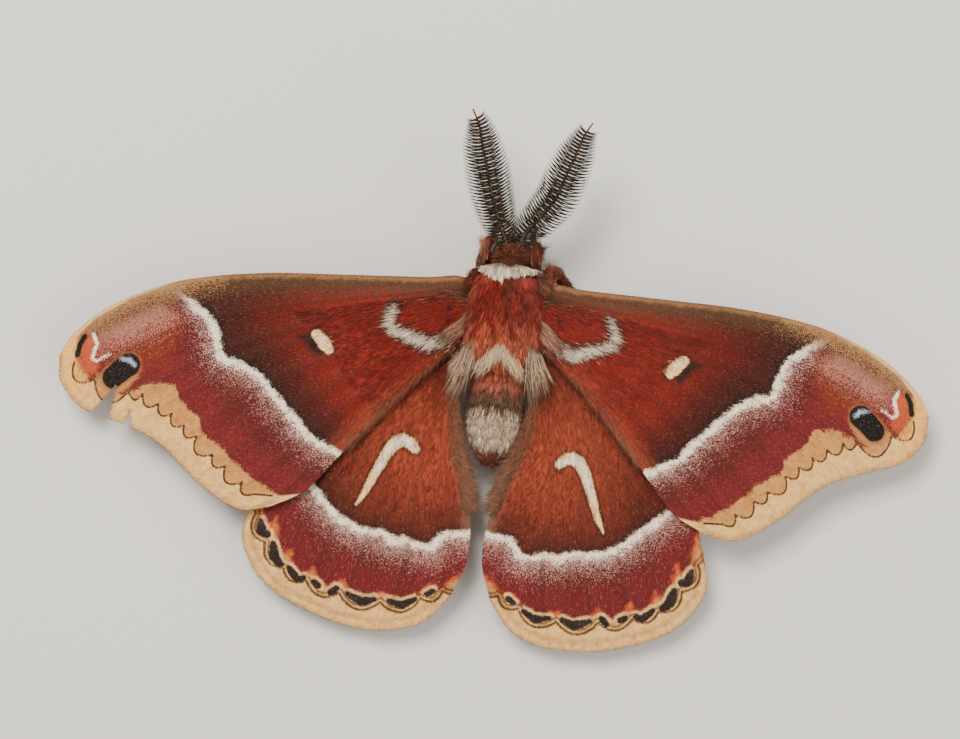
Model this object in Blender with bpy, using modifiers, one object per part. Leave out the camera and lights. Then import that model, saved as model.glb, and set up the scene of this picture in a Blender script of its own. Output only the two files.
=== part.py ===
"""Ceanothus silk moth, a male at life size, set down on its six feet with its wings spread.

Sizes are millimetres, and the last step turns the finished meshes to metres. The moth looks
along +Y with its right wings at +X, and the floor is the plane at height zero.
"""
import math

import bmesh
import bpy
from mathutils import Vector

METRES = 0.001
GAP = 0.3

# Body: a centre, half sizes along X, Y and Z, and how square the form is (2 is an ellipsoid)
THORAX_CENTRE = (0.0, -2.7, 8.7)
THORAX_HALF = (4.3, 5.7, 4.1)
THORAX_SQUARE = 2.3
HEAD_CENTRE = (0.4, 7.0, 8.3)
HEAD_HALF = (1.9, 1.7, 2.1)
NECK_RADIUS = 1.7
EYE_RADIUS = 1.05
EYE_SPREAD = 1.75
EYE_CENTRE = (0.4, 6.9, 8.0)
COLLAR_CENTRE = (0.0, 4.4, 8.9)
COLLAR_RADIUS = (3.3, 3.0)
COLLAR_HALF_TURN = math.radians(105)
COLLAR_LENGTH = 1.5
COLLAR_DEPTH = 1.0

# Abdomen without its hair, one row a ring: place along Y, height, half width, half depth
ABDOMEN_RINGS = (
    (-8.75, 8.2, 1.9, 1.7),
    (-9.3, 8.1, 2.6, 2.3),
    (-11.3, 7.8, 3.0, 2.7),
    (-13.3, 7.5, 3.0, 2.7),
    (-15.3, 7.1, 2.85, 2.5),
    (-17.2, 6.7, 2.4, 2.1),
    (-18.6, 6.4, 1.7, 1.5),
    (-19.3, 6.3, 0.9, 0.8),
)

# Hair, as flat tapered locks: roots sit this far inside what they grow from
LOCK_SUNK = 0.6
LOCK_THICKNESS = 0.5
LOCK_RISE = ((0.25, 0.4), (0.65, 0.75), (1.0, 1.0))
THORAX_COAT_HALF = (5.9, 8.6, 5.2)
THORAX_ROWS = ((1.7, 4), (-0.4, 5), (-2.6, 6), (-4.7, 5), (-6.6, 6))
THORAX_LOCK = (3.9, 1.6)
THORAX_LOCK_STEP = math.radians(19)
COAT_REAR = -8.3
TUFT_TURN = math.radians(52)
SIDE_TUFTS = ((-4.4, 5.4, -7.9), (-5.3, 6.1, -9.0), (-6.1, 5.6, -10.0))
SIDE_TUFT_HEIGHT = 11.1
ABDOMEN_COAT = 0.95
ABDOMEN_TIERS = (-9.4, -11.3, -13.2, -15.0, -16.7, -18.2)
ABDOMEN_LOCKS = 10
ABDOMEN_LOCK = (2.6, 1.7)
COLLAR_LOCKS = 13
COLLAR_LOCK = (2.1, 1.15)
HEAD_LOCKS = 9
HEAD_LOCK = (1.9, 0.9)

# Wings: edges as seen from above, for the right side. A side's wings turn about their pivots.
ROOF_TOP = 9.6
ROOF_FALL_OUT = 0.0016
ROOF_FALL_BACK = 0.0028
FOREWING_LIFT = 0.8
HINDWING_LIFT = -0.6
MEMBRANE = 0.5
VEIN = 0.9
VEIN_HALF_WIDTH = 0.42
WINGS = {
    "forewing": {
        "lift": FOREWING_LIFT,
        "root": (1.4, -3.6),
        "pivot": (5.0, 0.0),
        "front": ((5.6, 3.0), (10.0, 2.7), (20.0, 2.5), (30.0, 2.2), (40.0, 0.8), (48.0, -2.4), (53.0, -6.3)),
        "corner": (54.7, -9.0),
        "margin": ((54.3, -12.2), (51.7, -15.1), (47.0, -16.75), (41.6, -19.2), (36.3, -24.0), (31.6, -26.7)),
        "heel": (27.6, -26.3),
        "inner": ((8.4, -7.4), (16.3, -15.9), (19.9, -20.2), (23.4, -24.1)),
        "stations": 12,
        "veins": ((0.0, 0.0), (0.17, 0.0), (0.34, 0.38), (0.43, 0.38), (0.565, 0.38), (0.70, 0.0), (0.82, 0.3),
                  (0.93, 0.0)),
        "cross_vein": (0.38, 0.17, 0.70),
    },
    "hindwing": {
        "lift": HINDWING_LIFT,
        "root": (-4.0, -7.4),
        "pivot": (4.0, -4.0),
        "front": ((9.0, -3.2), (16.0, -6.8), (22.0, -14.0), (25.6, -22.0)),
        "corner": (27.9, -29.0),
        "margin": ((28.6, -33.9), (25.0, -39.0), (18.0, -42.0), (11.1, -42.9), (5.0, -41.2)),
        "heel": (1.5, -37.1),
        "inner": ((4.3, -10.0), (4.3, -14.0), (3.4, -18.5), (1.6, -23.0), (0.4, -27.5), (0.1, -32.5)),
        "stations": 11,
        "veins": ((0.0, 0.0), (0.18, 0.0), (0.32, 0.36), (0.43, 0.36), (0.56, 0.0), (0.72, 0.3), (0.89, 0.0)),
        "cross_vein": (0.36, 0.18, 0.56),
    },
}
WING_POSE = {
    "forewing_right": (0.0, 1.0),
    "forewing_left": (-2.4, 1.025),
    "hindwing_right": (0.0, 1.0),
    "hindwing_left": (3.4, 1.0),
}

# The left forewing is torn at its margin: each tear is its inmost point and its two lips
TEARS = (
    ((-47.9, -14.3), (-48.7, -20.5), (-51.9, -19.6)),
    ((-45.9, -17.2), (-45.7, -20.5), (-46.9, -20.5)),
)

# Antennae: the shaft's points, and its rays
SHAFTS = {
    "left": ((-1.3, 9.4, 10.1), (-2.0, 11.0, 10.8), (-2.9, 13.5, 11.9), (-3.7, 16.2, 12.8), (-4.6, 19.2, 13.5),
             (-5.2, 21.6, 13.9), (-6.2, 23.6, 14.0)),
    "right": ((1.9, 9.4, 10.1), (3.3, 11.1, 10.9), (5.0, 13.6, 12.0), (6.0, 16.4, 12.9), (7.0, 19.2, 13.6),
              (7.8, 21.6, 14.0), (8.7, 23.2, 14.1)),
}
SHAFT_THICKNESS = 0.75
RAY_LENGTH = 3.0
RAY_THICKNESS = (0.55, 0.5, 0.2)
RAYS_A_SIDE = 15
RAY_LIFT = 0.28
RAY_SWEEP = 0.25
RAY_STAGGER = 0.07

# Legs: hip direction from the thorax's centre, then knee, ankle and toe
SOLE = 0.25
LEGS = {
    "leg_front_left": ((-0.35, 0.75, -0.55), (-2.7, 7.9, 6.0), (-2.6, 7.6, 1.2), (-1.9, 10.2, SOLE)),
    "leg_front_right": ((0.35, 0.75, -0.55), (3.3, 7.7, 6.0), (3.3, 7.3, 1.2), (2.6, 9.9, SOLE)),
    "leg_mid_left": ((-0.6, 0.1, -0.8), (-7.2, 1.4, 5.8), (-10.0, 0.6, 1.2), (-12.5, 1.2, SOLE)),
    "leg_mid_right": ((0.6, 0.2, -0.8), (5.8, 5.2, 5.8), (8.3, 2.4, 1.2), (11.0, 1.3, SOLE)),
    "leg_hind_left": ((-0.5, -0.5, -0.75), (-6.8, -8.6, 5.6), (-9.3, -14.6, 1.2), (-11.2, -18.4, SOLE)),
    "leg_hind_right": ((0.5, -0.5, -0.75), (6.8, -8.6, 5.6), (9.3, -14.6, 1.2), (11.2, -18.4, SOLE)),
}
FEMUR = 1.7
TIBIA = 1.4
TARSUS = 0.8

COLOURS = {
    "thorax": (0.28, 0.035, 0.02), "abdomen": (0.42, 0.2, 0.13), "collar": (0.85, 0.74, 0.64),
    "head": (0.3, 0.1, 0.06), "eye": (0.01, 0.008, 0.006), "palp": (0.35, 0.12, 0.07),
    "antenna": (0.05, 0.035, 0.02), "forewing": (0.34, 0.08, 0.05), "hindwing": (0.36, 0.07, 0.04),
    "leg": (0.3, 0.11, 0.07),
}

MOTH = bpy.data.collections.new("ceanothus_silk_moth")
CUTTERS = bpy.data.collections.new("cutters")


class Form:
    """A rounded body that other pieces grow from."""

    def __init__(self, centre, half, square=2.0):
        self.centre = Vector(centre)
        self.half = Vector(half)
        self.square = square

    def surface(self, direction, lift=0.0):
        """The point of the surface in a direction from the centre, on the form grown by lift."""
        d = Vector(direction).normalized()
        reach = sum(abs(d[k] / (self.half[k] + lift)) ** self.square for k in range(3))
        return self.centre + d / reach ** (1 / self.square)

    def outward(self, point):
        """The direction square to the surface at a point."""
        d = Vector(point) - self.centre
        slope = [math.copysign(abs(d[k] / self.half[k]) ** (self.square - 1), d[k]) / self.half[k] for k in range(3)]
        return Vector(slope).normalized()

    def ring(self, y, turn, lift=0.0):
        """The point of the grown form at a place along Y, turned about its long axis from straight up."""
        share = max(0.0, 1 - abs((y - self.centre.y) / (self.half.y + lift)) ** self.square)
        reach = abs(math.sin(turn) / (self.half.x + lift)) ** self.square
        reach += abs(math.cos(turn) / (self.half.z + lift)) ** self.square
        radius = (share / reach) ** (1 / self.square)
        return Vector((self.centre.x + radius * math.sin(turn), y, self.centre.z + radius * math.cos(turn)))

    def side(self, y, z, lift):
        """How far out the grown form reaches along X at a place and height."""
        rest = abs((y - self.centre.y) / (self.half.y + lift)) ** self.square
        rest += abs((z - self.centre.z) / (self.half.z + lift)) ** self.square
        return (self.half.x + lift) * max(0.0, 1 - rest) ** (1 / self.square)

    def piece(self, name, around, along):
        """The form as a closed mesh, its poles on the moth's long axis."""
        bm = bmesh.new()
        bmesh.ops.create_uvsphere(bm, u_segments=around, v_segments=along, radius=1)
        for v in bm.verts:
            v.co = self.surface((v.co.x, v.co.z, -v.co.y))
        return new_piece(name, bm)


THORAX = Form(THORAX_CENTRE, THORAX_HALF, THORAX_SQUARE)
THORAX_COAT = Form(THORAX_CENTRE, THORAX_COAT_HALF, THORAX_SQUARE)
HEAD = Form(HEAD_CENTRE, HEAD_HALF)


def clear_scene():
    for old in list(bpy.data.objects):
        bpy.data.objects.remove(old, do_unlink=True)
    bpy.context.scene.collection.children.link(MOTH)
    bpy.context.scene.collection.children.link(CUTTERS)


def new_piece(name, bm, collection=MOTH):
    mesh = bpy.data.meshes.new(name)
    bm.to_mesh(mesh)
    bm.free()
    piece = bpy.data.objects.new(name, mesh)
    collection.objects.link(piece)
    return piece


def bar(name, path, widths, depths, up, sides=8, split=False):
    """A closed bar of rings along a path, each with its own width, and its depth towards up."""
    bm = bmesh.new()
    bmesh.ops.create_cone(bm, cap_ends=True, segments=sides, radius1=0.5, radius2=0.5, depth=1)
    lengthwise = [e for e in bm.edges if abs(e.verts[0].co.z - e.verts[1].co.z) > 0.5]
    bmesh.ops.subdivide_edges(bm, edges=lengthwise, cuts=len(path) - 2)
    last = len(path) - 1
    frames = []
    for k in range(len(path)):
        along = (path[min(k + 1, last)] - path[max(k - 1, 0)]).normalized()
        deep = (up - along * up.dot(along)).normalized()
        frames.append((deep.cross(along), deep))
    for v in bm.verts:
        k = round((v.co.z + 0.5) * last)
        across, deep = frames[k]
        v.co = path[k] + across * (v.co.x * widths[k]) + deep * (v.co.y * depths[k])
    if split:
        bmesh.ops.triangulate(bm, faces=bm.faces[:])
    return new_piece(name, bm)


def applied(piece):
    """Replaces a piece's mesh by the one its modifiers give."""
    seen = piece.evaluated_get(bpy.context.evaluated_depsgraph_get())
    mesh = bpy.data.meshes.new_from_object(seen)
    piece.modifiers.clear()
    piece.data = mesh


def boolean(piece, operation, pieces):
    """Joins or cuts a piece with others in one step, then removes them."""
    group = bpy.data.collections.new("group")
    bpy.context.scene.collection.children.link(group)
    for other in pieces:
        for home in list(other.users_collection):
            home.objects.unlink(other)
        group.objects.link(other)
    step = piece.modifiers.new("step", "BOOLEAN")
    step.operation = operation
    step.operand_type = "COLLECTION"
    step.collection = group
    step.solver = "MANIFOLD"
    applied(piece)
    for other in pieces:
        bpy.data.objects.remove(other, do_unlink=True)
    bpy.data.collections.remove(group)
    keep_largest(piece)


def keep_largest(piece):
    """Keeps the largest closed surface of a mesh."""
    bm = bmesh.new()
    bm.from_mesh(piece.data)
    left = set(bm.verts)
    surfaces = []
    while left:
        stack = [left.pop()]
        surface = list(stack)
        while stack:
            v = stack.pop()
            for e in v.link_edges:
                other = e.other_vert(v)
                if other in left:
                    left.remove(other)
                    stack.append(other)
                    surface.append(other)
        surfaces.append(surface)
    surfaces.sort(key=len)
    for surface in surfaces[:-1]:
        bmesh.ops.delete(bm, geom=surface, context="VERTS")
    bm.to_mesh(piece.data)
    bm.free()


def smooth_curve(points, count, spacing=None):
    """Points along the smooth curve through the given ones, at even or given shares of its length."""
    ends = [points[0] * 2 - points[1]] + list(points) + [points[-1] * 2 - points[-2]]
    fine = []
    steps = 24
    for a, b, c, d in zip(ends, ends[1:], ends[2:], ends[3:]):
        for k in range(steps):
            t = k / steps
            fine.append(0.5 * (b * 2 + (c - a) * t + (a * 2 - b * 5 + c * 4 - d) * t * t
                               + (b * 3 - a - c * 3 + d) * t ** 3))
    fine.append(points[-1].copy())
    reach = [0.0]
    for a, b in zip(fine, fine[1:]):
        reach.append(reach[-1] + (b - a).length)
    shares = spacing or [k / (count - 1) for k in range(count)]
    curve = []
    k = 0
    for share in shares:
        goal = share * reach[-1]
        while k < len(fine) - 2 and reach[k + 1] < goal:
            k += 1
        part = (goal - reach[k]) / max(reach[k + 1] - reach[k], 1e-9)
        curve.append(fine[k].lerp(fine[k + 1], min(max(part, 0.0), 1.0)))
    return curve


def roof(x, y, lift):
    """Height of a wing's middle surface: a low roof that falls to the wing tips and to the rear."""
    back = min(y, 0.0)
    return ROOF_TOP + lift - ROOF_FALL_OUT * x * x - ROOF_FALL_BACK * back * back


def wing_columns(wing, chord):
    """Lines from root to margin: three to a vein, the middle one raised, and one in each cell."""
    veins = [place for place, start in wing["veins"]]
    half = min(VEIN_HALF_WIDTH / chord, 0.3 * min(b - a for a, b in zip(veins, veins[1:])))
    columns = []
    for k, place in enumerate(veins):
        if k:
            columns.append(((veins[k - 1] + place) / 2, None))
            columns.append((place - half, None))
        columns.append((place, k))
        columns.append((place + half, None))
    columns.append((1.0, None))
    return columns


def add_wing(kind, side_name, side):
    """A wing: a curved sheet over a mapped grid, thickened, with its main veins as ridges on both faces."""
    wing = WINGS[kind]
    name = kind + "_" + side_name
    turn, stretch = WING_POSE[name]
    turn = math.radians(turn)
    pivot = Vector(wing["pivot"])

    def placed(point):
        p = Vector(point) - pivot
        return pivot + Vector((p.x * math.cos(turn) - p.y * math.sin(turn),
                               p.x * math.sin(turn) + p.y * math.cos(turn))) * stretch

    def root_point(y):
        height = roof(THORAX_HALF[0], y, wing["lift"])
        faces = (height - VEIN / 2, height + VEIN / 2)
        return Vector((max(THORAX.side(y, z, GAP) for z in faces), y))

    count = wing["stations"]
    stations = [1 - (1 - k / (count - 1)) ** 1.25 for k in range(count)]
    corner, heel = placed(wing["corner"]), placed(wing["heel"])
    root_front, root_rear = root_point(wing["root"][0]), root_point(wing["root"][1])
    front = smooth_curve([root_front] + [placed(p) for p in wing["front"]] + [corner], count, stations)
    inner = smooth_curve([root_rear] + [placed(p) for p in wing["inner"]] + [heel], count, stations)
    lines = len(wing_columns(wing, 1.0))
    grid = []
    raised = []
    cross_at = min(range(count), key=lambda k: abs(stations[k] - wing["cross_vein"][0]))
    for i, u in enumerate(stations):
        columns = wing_columns(wing, (front[i] - inner[i]).length)
        shares = [v for v, vein in columns]
        rim = smooth_curve([corner] + [placed(p) for p in wing["margin"]] + [heel], lines, shares)
        for (v, vein), edge in zip(columns, rim):
            root = root_point(wing["root"][0] * (1 - v) + wing["root"][1] * v)
            flat = (front[i] * (1 - v) + inner[i] * v + root * (1 - u) + edge * u
                    - (root_front * (1 - v) + root_rear * v) * (1 - u) - (corner * (1 - v) + heel * v) * u)
            grid.append(Vector((side * flat.x, flat.y, roof(flat.x, flat.y, wing["lift"]))))
            on_vein = vein is not None and stations[i] >= wing["veins"][vein][1] - 0.02
            on_cross = i == cross_at and wing["cross_vein"][1] <= v <= wing["cross_vein"][2]
            raised.append(on_vein or on_cross)

    bm = bmesh.new()
    bmesh.ops.create_grid(bm, x_segments=count - 1, y_segments=lines - 1, size=0.5)
    bm.verts.ensure_lookup_table()
    order = []
    for v in bm.verts:
        place = round((v.co.x + 0.5) * (count - 1)) * lines + round((v.co.y + 0.5) * (lines - 1))
        order.append(place)
        v.co = grid[place]
    bmesh.ops.triangulate(bm, faces=bm.faces[:], quad_method="FIXED")
    piece = new_piece(name, bm)
    ridge = piece.vertex_groups.new(name="thickness")
    for index, place in enumerate(order):
        ridge.add([index], 1.0 if raised[place] else MEMBRANE / VEIN, "REPLACE")
    wall = piece.modifiers.new("wall", "SOLIDIFY")
    wall.thickness = VEIN
    wall.offset = 0
    wall.vertex_group = ridge.name
    applied(piece)
    return piece


def add_tears(wing):
    cutters = []
    for tip, lip_a, lip_b in TEARS:
        bm = bmesh.new()
        bmesh.ops.create_cone(bm, cap_ends=True, segments=3, radius1=1, radius2=1, depth=2 * ROOF_TOP)
        around = sorted({round(math.atan2(v.co.y, v.co.x), 3) for v in bm.verts})
        corners = dict(zip(around, (tip, lip_a, lip_b)))
        for v in bm.verts:
            place = corners[round(math.atan2(v.co.y, v.co.x), 3)]
            v.co = Vector((place[0], place[1], v.co.z + ROOF_TOP / 2))
        bmesh.ops.recalc_face_normals(bm, faces=bm.faces[:])
        cutters.append(new_piece("tear", bm, CUTTERS))
    boolean(wing, "DIFFERENCE", cutters)


def lock(path, width, up):
    """A flat lock of hair that tapers to its tip, its first point sunk in what it grows from."""
    widths = [width * g for g in (0.85, 1.0, 0.8, 0.2)]
    depths = [LOCK_THICKNESS * g for g in (1.3, 1.2, 1.0, 0.4)]
    return bar("lock", path, widths, depths, up, 4, True)


def add_thorax():
    """The thorax: a core, long hair that flows back from row to row, and a tuft over each wing base."""
    thorax = THORAX.piece("thorax", 20, 12)
    length, width = THORAX_LOCK
    locks = []
    for row, (y, count) in enumerate(THORAX_ROWS):
        for k in range(count):
            turn = THORAX_LOCK_STEP * (k - (count - 1) / 2)
            long = length * (1 + 0.1 * math.sin(5.0 * k + 2.1 * row)) * (0.8 if y == THORAX_ROWS[-1][0] else 1)
            path = [THORAX.ring(y + 0.2, turn, -LOCK_SUNK)]
            for t, risen in LOCK_RISE:
                reach = y - t * long
                body = THORAX.ring(max(reach, COAT_REAR + 0.8), turn)
                coat = THORAX_COAT.ring(max(reach, COAT_REAR), turn * (1 + 0.12 * t))
                point = body.lerp(coat, risen)
                path.append(Vector((point.x, reach, point.z)))
            locks.append(lock(path, width, path[1] - path[0]))
    for side in (-1, 1):
        for y, tip_x, tip_y in SIDE_TUFTS:
            root = THORAX.ring(y, side * TUFT_TURN, -LOCK_SUNK)
            edge = THORAX.ring(y - 0.5, side * TUFT_TURN, 0.8)
            tip = Vector((side * tip_x, tip_y, SIDE_TUFT_HEIGHT - 0.5))
            middle = edge.lerp(tip, 0.55)
            middle.z = SIDE_TUFT_HEIGHT + 0.4
            locks.append(lock([root, edge, middle, tip], width, Vector((0.3 * side, 0, 1))))
    boolean(thorax, "UNION", locks)


def abdomen_at(y):
    """Height, half width and half depth of the abdomen's core at a place along Y."""
    for (y0, *front), (y1, *rear) in zip(ABDOMEN_RINGS, ABDOMEN_RINGS[1:]):
        if y1 <= y <= y0:
            t = (y0 - y) / (y0 - y1)
            return [a + (b - a) * t for a, b in zip(front, rear)]
    return list(ABDOMEN_RINGS[-1][1:])


def abdomen_point(y, turn, lift):
    z, half_width, half_depth = abdomen_at(y)
    return Vector(((half_width + lift) * math.sin(turn), y, z + (half_depth + lift) * math.cos(turn)))


def add_abdomen():
    """The abdomen: a core and tiers of short locks that point to its tip."""
    path = [Vector((0, y, z)) for y, z, w, d in ABDOMEN_RINGS]
    widths = [2 * w for y, z, w, d in ABDOMEN_RINGS]
    depths = [2 * d for y, z, w, d in ABDOMEN_RINGS]
    abdomen = bar("abdomen", path, widths, depths, Vector((0, 0, 1)), 16)
    length, width = ABDOMEN_LOCK
    last = ABDOMEN_RINGS[-1][0]
    locks = []
    for tier, y in enumerate(ABDOMEN_TIERS):
        girth = abdomen_at(y)[1] / 3.0
        count = max(5, round(ABDOMEN_LOCKS * girth))
        for k in range(count):
            turn = 2 * math.pi * (k + 0.5 * (tier % 2) + 0.08 * math.sin(3.0 * k + tier)) / count
            long = (length * (1 + 0.1 * math.sin(4.0 * k + tier))) * (0.75 + 0.25 * girth)
            path = [abdomen_point(y + 0.2, turn, -LOCK_SUNK)]
            for t, risen in LOCK_RISE:
                place = max(y - t * long, last)
                point = abdomen_point(place, turn, ABDOMEN_COAT * risen)
                point.y = y - t * long
                path.append(point)
            locks.append(lock(path, width * (0.6 + 0.4 * girth), path[1] - path[0]))
    boolean(abdomen, "UNION", locks)


def add_collar():
    """A saddle of hair over the neck, right behind the head."""
    centre = Vector(COLLAR_CENTRE)
    rings = 13
    path, widths, depths = [], [], []
    for k in range(rings):
        turn = COLLAR_HALF_TURN * (2 * k / (rings - 1) - 1)
        share = abs(2 * k / (rings - 1) - 1)
        path.append(centre + Vector((COLLAR_RADIUS[0] * math.sin(turn), 0, COLLAR_RADIUS[1] * math.cos(turn))))
        widths.append(COLLAR_DEPTH * (1 - 0.5 * share ** 3))
        depths.append(COLLAR_LENGTH * (1 - 0.5 * share ** 3))
    collar = bar("collar", path, widths, depths, Vector((0, 1, 0)), 10)
    length, width = COLLAR_LOCK
    locks = []
    for k in range(COLLAR_LOCKS):
        share = 2 * k / (COLLAR_LOCKS - 1) - 1
        turn = 0.92 * COLLAR_HALF_TURN * share
        outward = Vector((math.sin(turn), 0, math.cos(turn)))
        saddle = centre + Vector((COLLAR_RADIUS[0] * outward.x, 0, COLLAR_RADIUS[1] * outward.z))
        long = length * (1 - 0.3 * abs(share)) * (1 - 0.12 * math.cos(2 * math.pi * share))
        path = [saddle + Vector((0, 0.5 - long * t, 0)) + outward * rise
                for t, rise in ((0.0, 0.0), (0.3, 0.55), (0.65, 0.75), (1.0, 0.8))]
        locks.append(lock(path, width, outward))
    boolean(collar, "UNION", locks)


def add_head():
    head = HEAD.piece("head", 20, 12)
    neck_back = Vector((0, THORAX_CENTRE[1] + THORAX_HALF[1] + 1.3 * GAP, COLLAR_CENTRE[2]))
    neck_front = Vector(HEAD_CENTRE)
    path = [neck_back.lerp(neck_front, t) for t in (0, 0.2, 0.6, 1)]
    width = 2 * NECK_RADIUS
    neck = bar("neck", path, (0.8 * width, width, width, 0.8 * width), (0.8 * width, width, width, 0.8 * width),
               Vector((0, 0, 1)), 12)
    boolean(head, "UNION", [neck])
    length, width = HEAD_LOCK
    locks = []
    for k in range(HEAD_LOCKS):
        turn = math.radians(16) * (k - (HEAD_LOCKS - 1) / 2)
        root = HEAD.ring(HEAD_CENTRE[1] - 0.7 + 0.6 * (k % 2), turn, -LOCK_SUNK)
        outward = HEAD.outward(root)
        lie = (outward + Vector((0, 0.9 if k % 2 else 0.2, 0))).normalized()
        path = [root, root + outward * 0.8, root + outward * 1.1 + lie * 0.3, root + outward * 1.1 + lie * 0.9]
        locks.append(lock(path, width, Vector((0, 1, 0))))
    boolean(head, "UNION", locks)
    sockets = [eye_ball("socket", side, EYE_RADIUS + GAP) for side in (-1, 1)]
    boolean(head, "DIFFERENCE", sockets)


def eye_ball(name, side, radius):
    centre = (EYE_CENTRE[0] + side * EYE_SPREAD, EYE_CENTRE[1], EYE_CENTRE[2])
    return Form(centre, (radius, radius, radius)).piece(name, 12, 8)


def add_palp(side_name, side):
    root = HEAD.surface((0.35 * side, 0.8, -0.45), 1.2 * GAP)
    path = [root, root + Vector((0.1 * side, 0.6, -0.3)), root + Vector((0.1 * side, 1.1, -0.8))]
    bar("palp_" + side_name, path, (0.7, 0.8, 0.35), (0.7, 0.8, 0.35), Vector((0, 0, 1)), 8)


def add_antenna(side_name, side):
    """A feathered feeler: a tapered shaft with a comb of curved rays on both sides and a bare tip."""
    root = HEAD.surface((0.38 * side, 0.62, 0.5), GAP)
    knots = [root] + [Vector(p) for p in SHAFTS[side_name]]
    steps = 4 * RAYS_A_SIDE
    fine = smooth_curve(knots, steps + 1)
    path = fine[::6] + [fine[-1]] if steps % 6 else fine[::6]
    last = len(path) - 1
    girths = [SHAFT_THICKNESS * (1 - 0.55 * k / last) for k in range(len(path))]
    shaft = bar("antenna_" + side_name, path, girths, girths, Vector((0, 0, 1)), 5)
    rays = []
    for k in range(RAYS_A_SIDE):
        t = 0.07 + 0.87 * k / (RAYS_A_SIDE - 1)
        at = round(t * steps)
        along = (fine[at + 1] - fine[at - 1]).normalized()
        out = along.cross(Vector((0, 0, 1))).normalized()
        length = RAY_LENGTH * math.sin(math.pi * (0.1 + 0.78 * t)) ** 0.9
        for way in (-1, 1):
            reach = out * way + Vector((0, 0, RAY_LIFT))
            start = fine[at] + along * (RAY_STAGGER * way)
            tip = start + reach * length + along * (RAY_SWEEP * length)
            ray = [start, start + reach * (0.5 * length) + along * (0.05 * length), tip]
            rays.append(bar("ray", ray, RAY_THICKNESS, RAY_THICKNESS, along, 4))
    boolean(shaft, "UNION", rays)


def limb(name, start, end, thickness, away=None):
    """A leg's segment with rounded ends, which may leave what it grows from square to it."""
    shares = (0.12, 0.5, 0.88, 1.0)
    path = [start] + [start.lerp(end, t) for t in shares]
    if away:
        path[1] = start + away * (0.5 * thickness)
    girths = [thickness * g for g in (0.6, 0.95, 1.0, 0.85, 0.5)]
    up = Vector((1, 0, 0)) if abs((end - start).normalized().x) < 0.7 else Vector((0, 1, 0))
    return bar(name, path, girths, girths, up, 8)


def add_leg(name, hip_direction, knee, ankle, toe):
    """Femur, tibia and a tarsus that lies on the floor, joined in one."""
    hip = THORAX.surface(hip_direction, GAP)
    knee, ankle, toe = Vector(knee), Vector(ankle), Vector(toe)
    leg = limb(name, hip, knee, FEMUR, THORAX.outward(hip))
    shin = limb("tibia", knee, ankle, TIBIA)
    heel = ankle.lerp(toe, 0.3)
    heel.z = toe.z
    path = [ankle + Vector((0, 0, 0.2)), heel, heel.lerp(toe, 0.5), heel.lerp(toe, 0.9), toe]
    girths = [TARSUS * g for g in (1.1, 1.1, 1.0, 0.9, 0.5)]
    foot = bar("tarsus", path, girths, girths, Vector((0, 0, 1)), 8)
    boolean(leg, "UNION", [shin, foot])
    for v in leg.data.vertices:
        v.co.z = max(v.co.z, 0.0)


def finish():
    """Puts the origin under the middle of the model, turns it to metres and gives each piece its material."""
    corners = [v.co for piece in MOTH.objects for v in piece.data.vertices]
    middle = [(min(c[k] for c in corners) + max(c[k] for c in corners)) / 2 for k in (0, 1)]
    shift = Vector((middle[0], middle[1], 0))
    for piece in MOTH.objects:
        for v in piece.data.vertices:
            v.co = (v.co - shift) * METRES
        piece.data.shade_smooth()
        piece.data.set_sharp_from_angle(angle=math.radians(50))
        finish_name = piece.name.split("_")[0]
        material = bpy.data.materials.new(piece.name)
        material.use_nodes = True
        shader = material.node_tree.nodes["Principled BSDF"]
        shader.inputs["Base Color"].default_value = COLOURS[finish_name] + (1,)
        shader.inputs["Roughness"].default_value = 0.15 if finish_name == "eye" else 0.85
        shader.inputs["Metallic"].default_value = 0.0
        piece.data.materials.clear()
        piece.data.materials.append(material)


def main():
    clear_scene()
    add_thorax()
    add_abdomen()
    add_collar()
    add_head()
    for side_name, side in (("left", -1), ("right", 1)):
        eye_ball("eye_" + side_name, side, EYE_RADIUS)
        add_palp(side_name, side)
        add_antenna(side_name, side)
        for kind in ("forewing", "hindwing"):
            wing = add_wing(kind, side_name, side)
            if kind == "forewing" and side < 0:
                add_tears(wing)
    for name, joints in LEGS.items():
        add_leg(name, *joints)
    finish()


main()
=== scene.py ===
"""The ceanothus silk moth as the photo shows it: patterned wings, long coat, eyes, feelers and legs.

Pieces are made in millimetres in the moth's own frame, whose origin lies between the wing roots,
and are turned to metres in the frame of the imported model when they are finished.
"""
import math

import bmesh
import bpy
import numpy as np
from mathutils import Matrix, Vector
from mathutils.kdtree import KDTree


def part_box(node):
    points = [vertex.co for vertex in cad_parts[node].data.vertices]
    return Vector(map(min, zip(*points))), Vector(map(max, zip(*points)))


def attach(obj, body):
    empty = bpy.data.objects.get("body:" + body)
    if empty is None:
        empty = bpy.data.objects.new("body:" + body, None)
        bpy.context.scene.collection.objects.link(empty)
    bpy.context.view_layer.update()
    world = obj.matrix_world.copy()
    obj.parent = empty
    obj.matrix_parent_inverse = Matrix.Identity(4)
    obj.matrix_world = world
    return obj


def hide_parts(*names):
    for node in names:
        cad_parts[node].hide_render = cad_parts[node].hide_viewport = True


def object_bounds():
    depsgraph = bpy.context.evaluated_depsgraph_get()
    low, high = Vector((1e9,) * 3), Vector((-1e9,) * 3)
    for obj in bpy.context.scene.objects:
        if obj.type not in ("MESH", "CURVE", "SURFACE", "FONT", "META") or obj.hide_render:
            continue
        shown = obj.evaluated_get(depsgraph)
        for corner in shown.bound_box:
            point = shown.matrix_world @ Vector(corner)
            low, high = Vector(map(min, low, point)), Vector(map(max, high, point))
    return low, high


METRES = 0.001
BODY = "root"
SEED = 7
SIDES = (("left", -1), ("right", 1))

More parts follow.
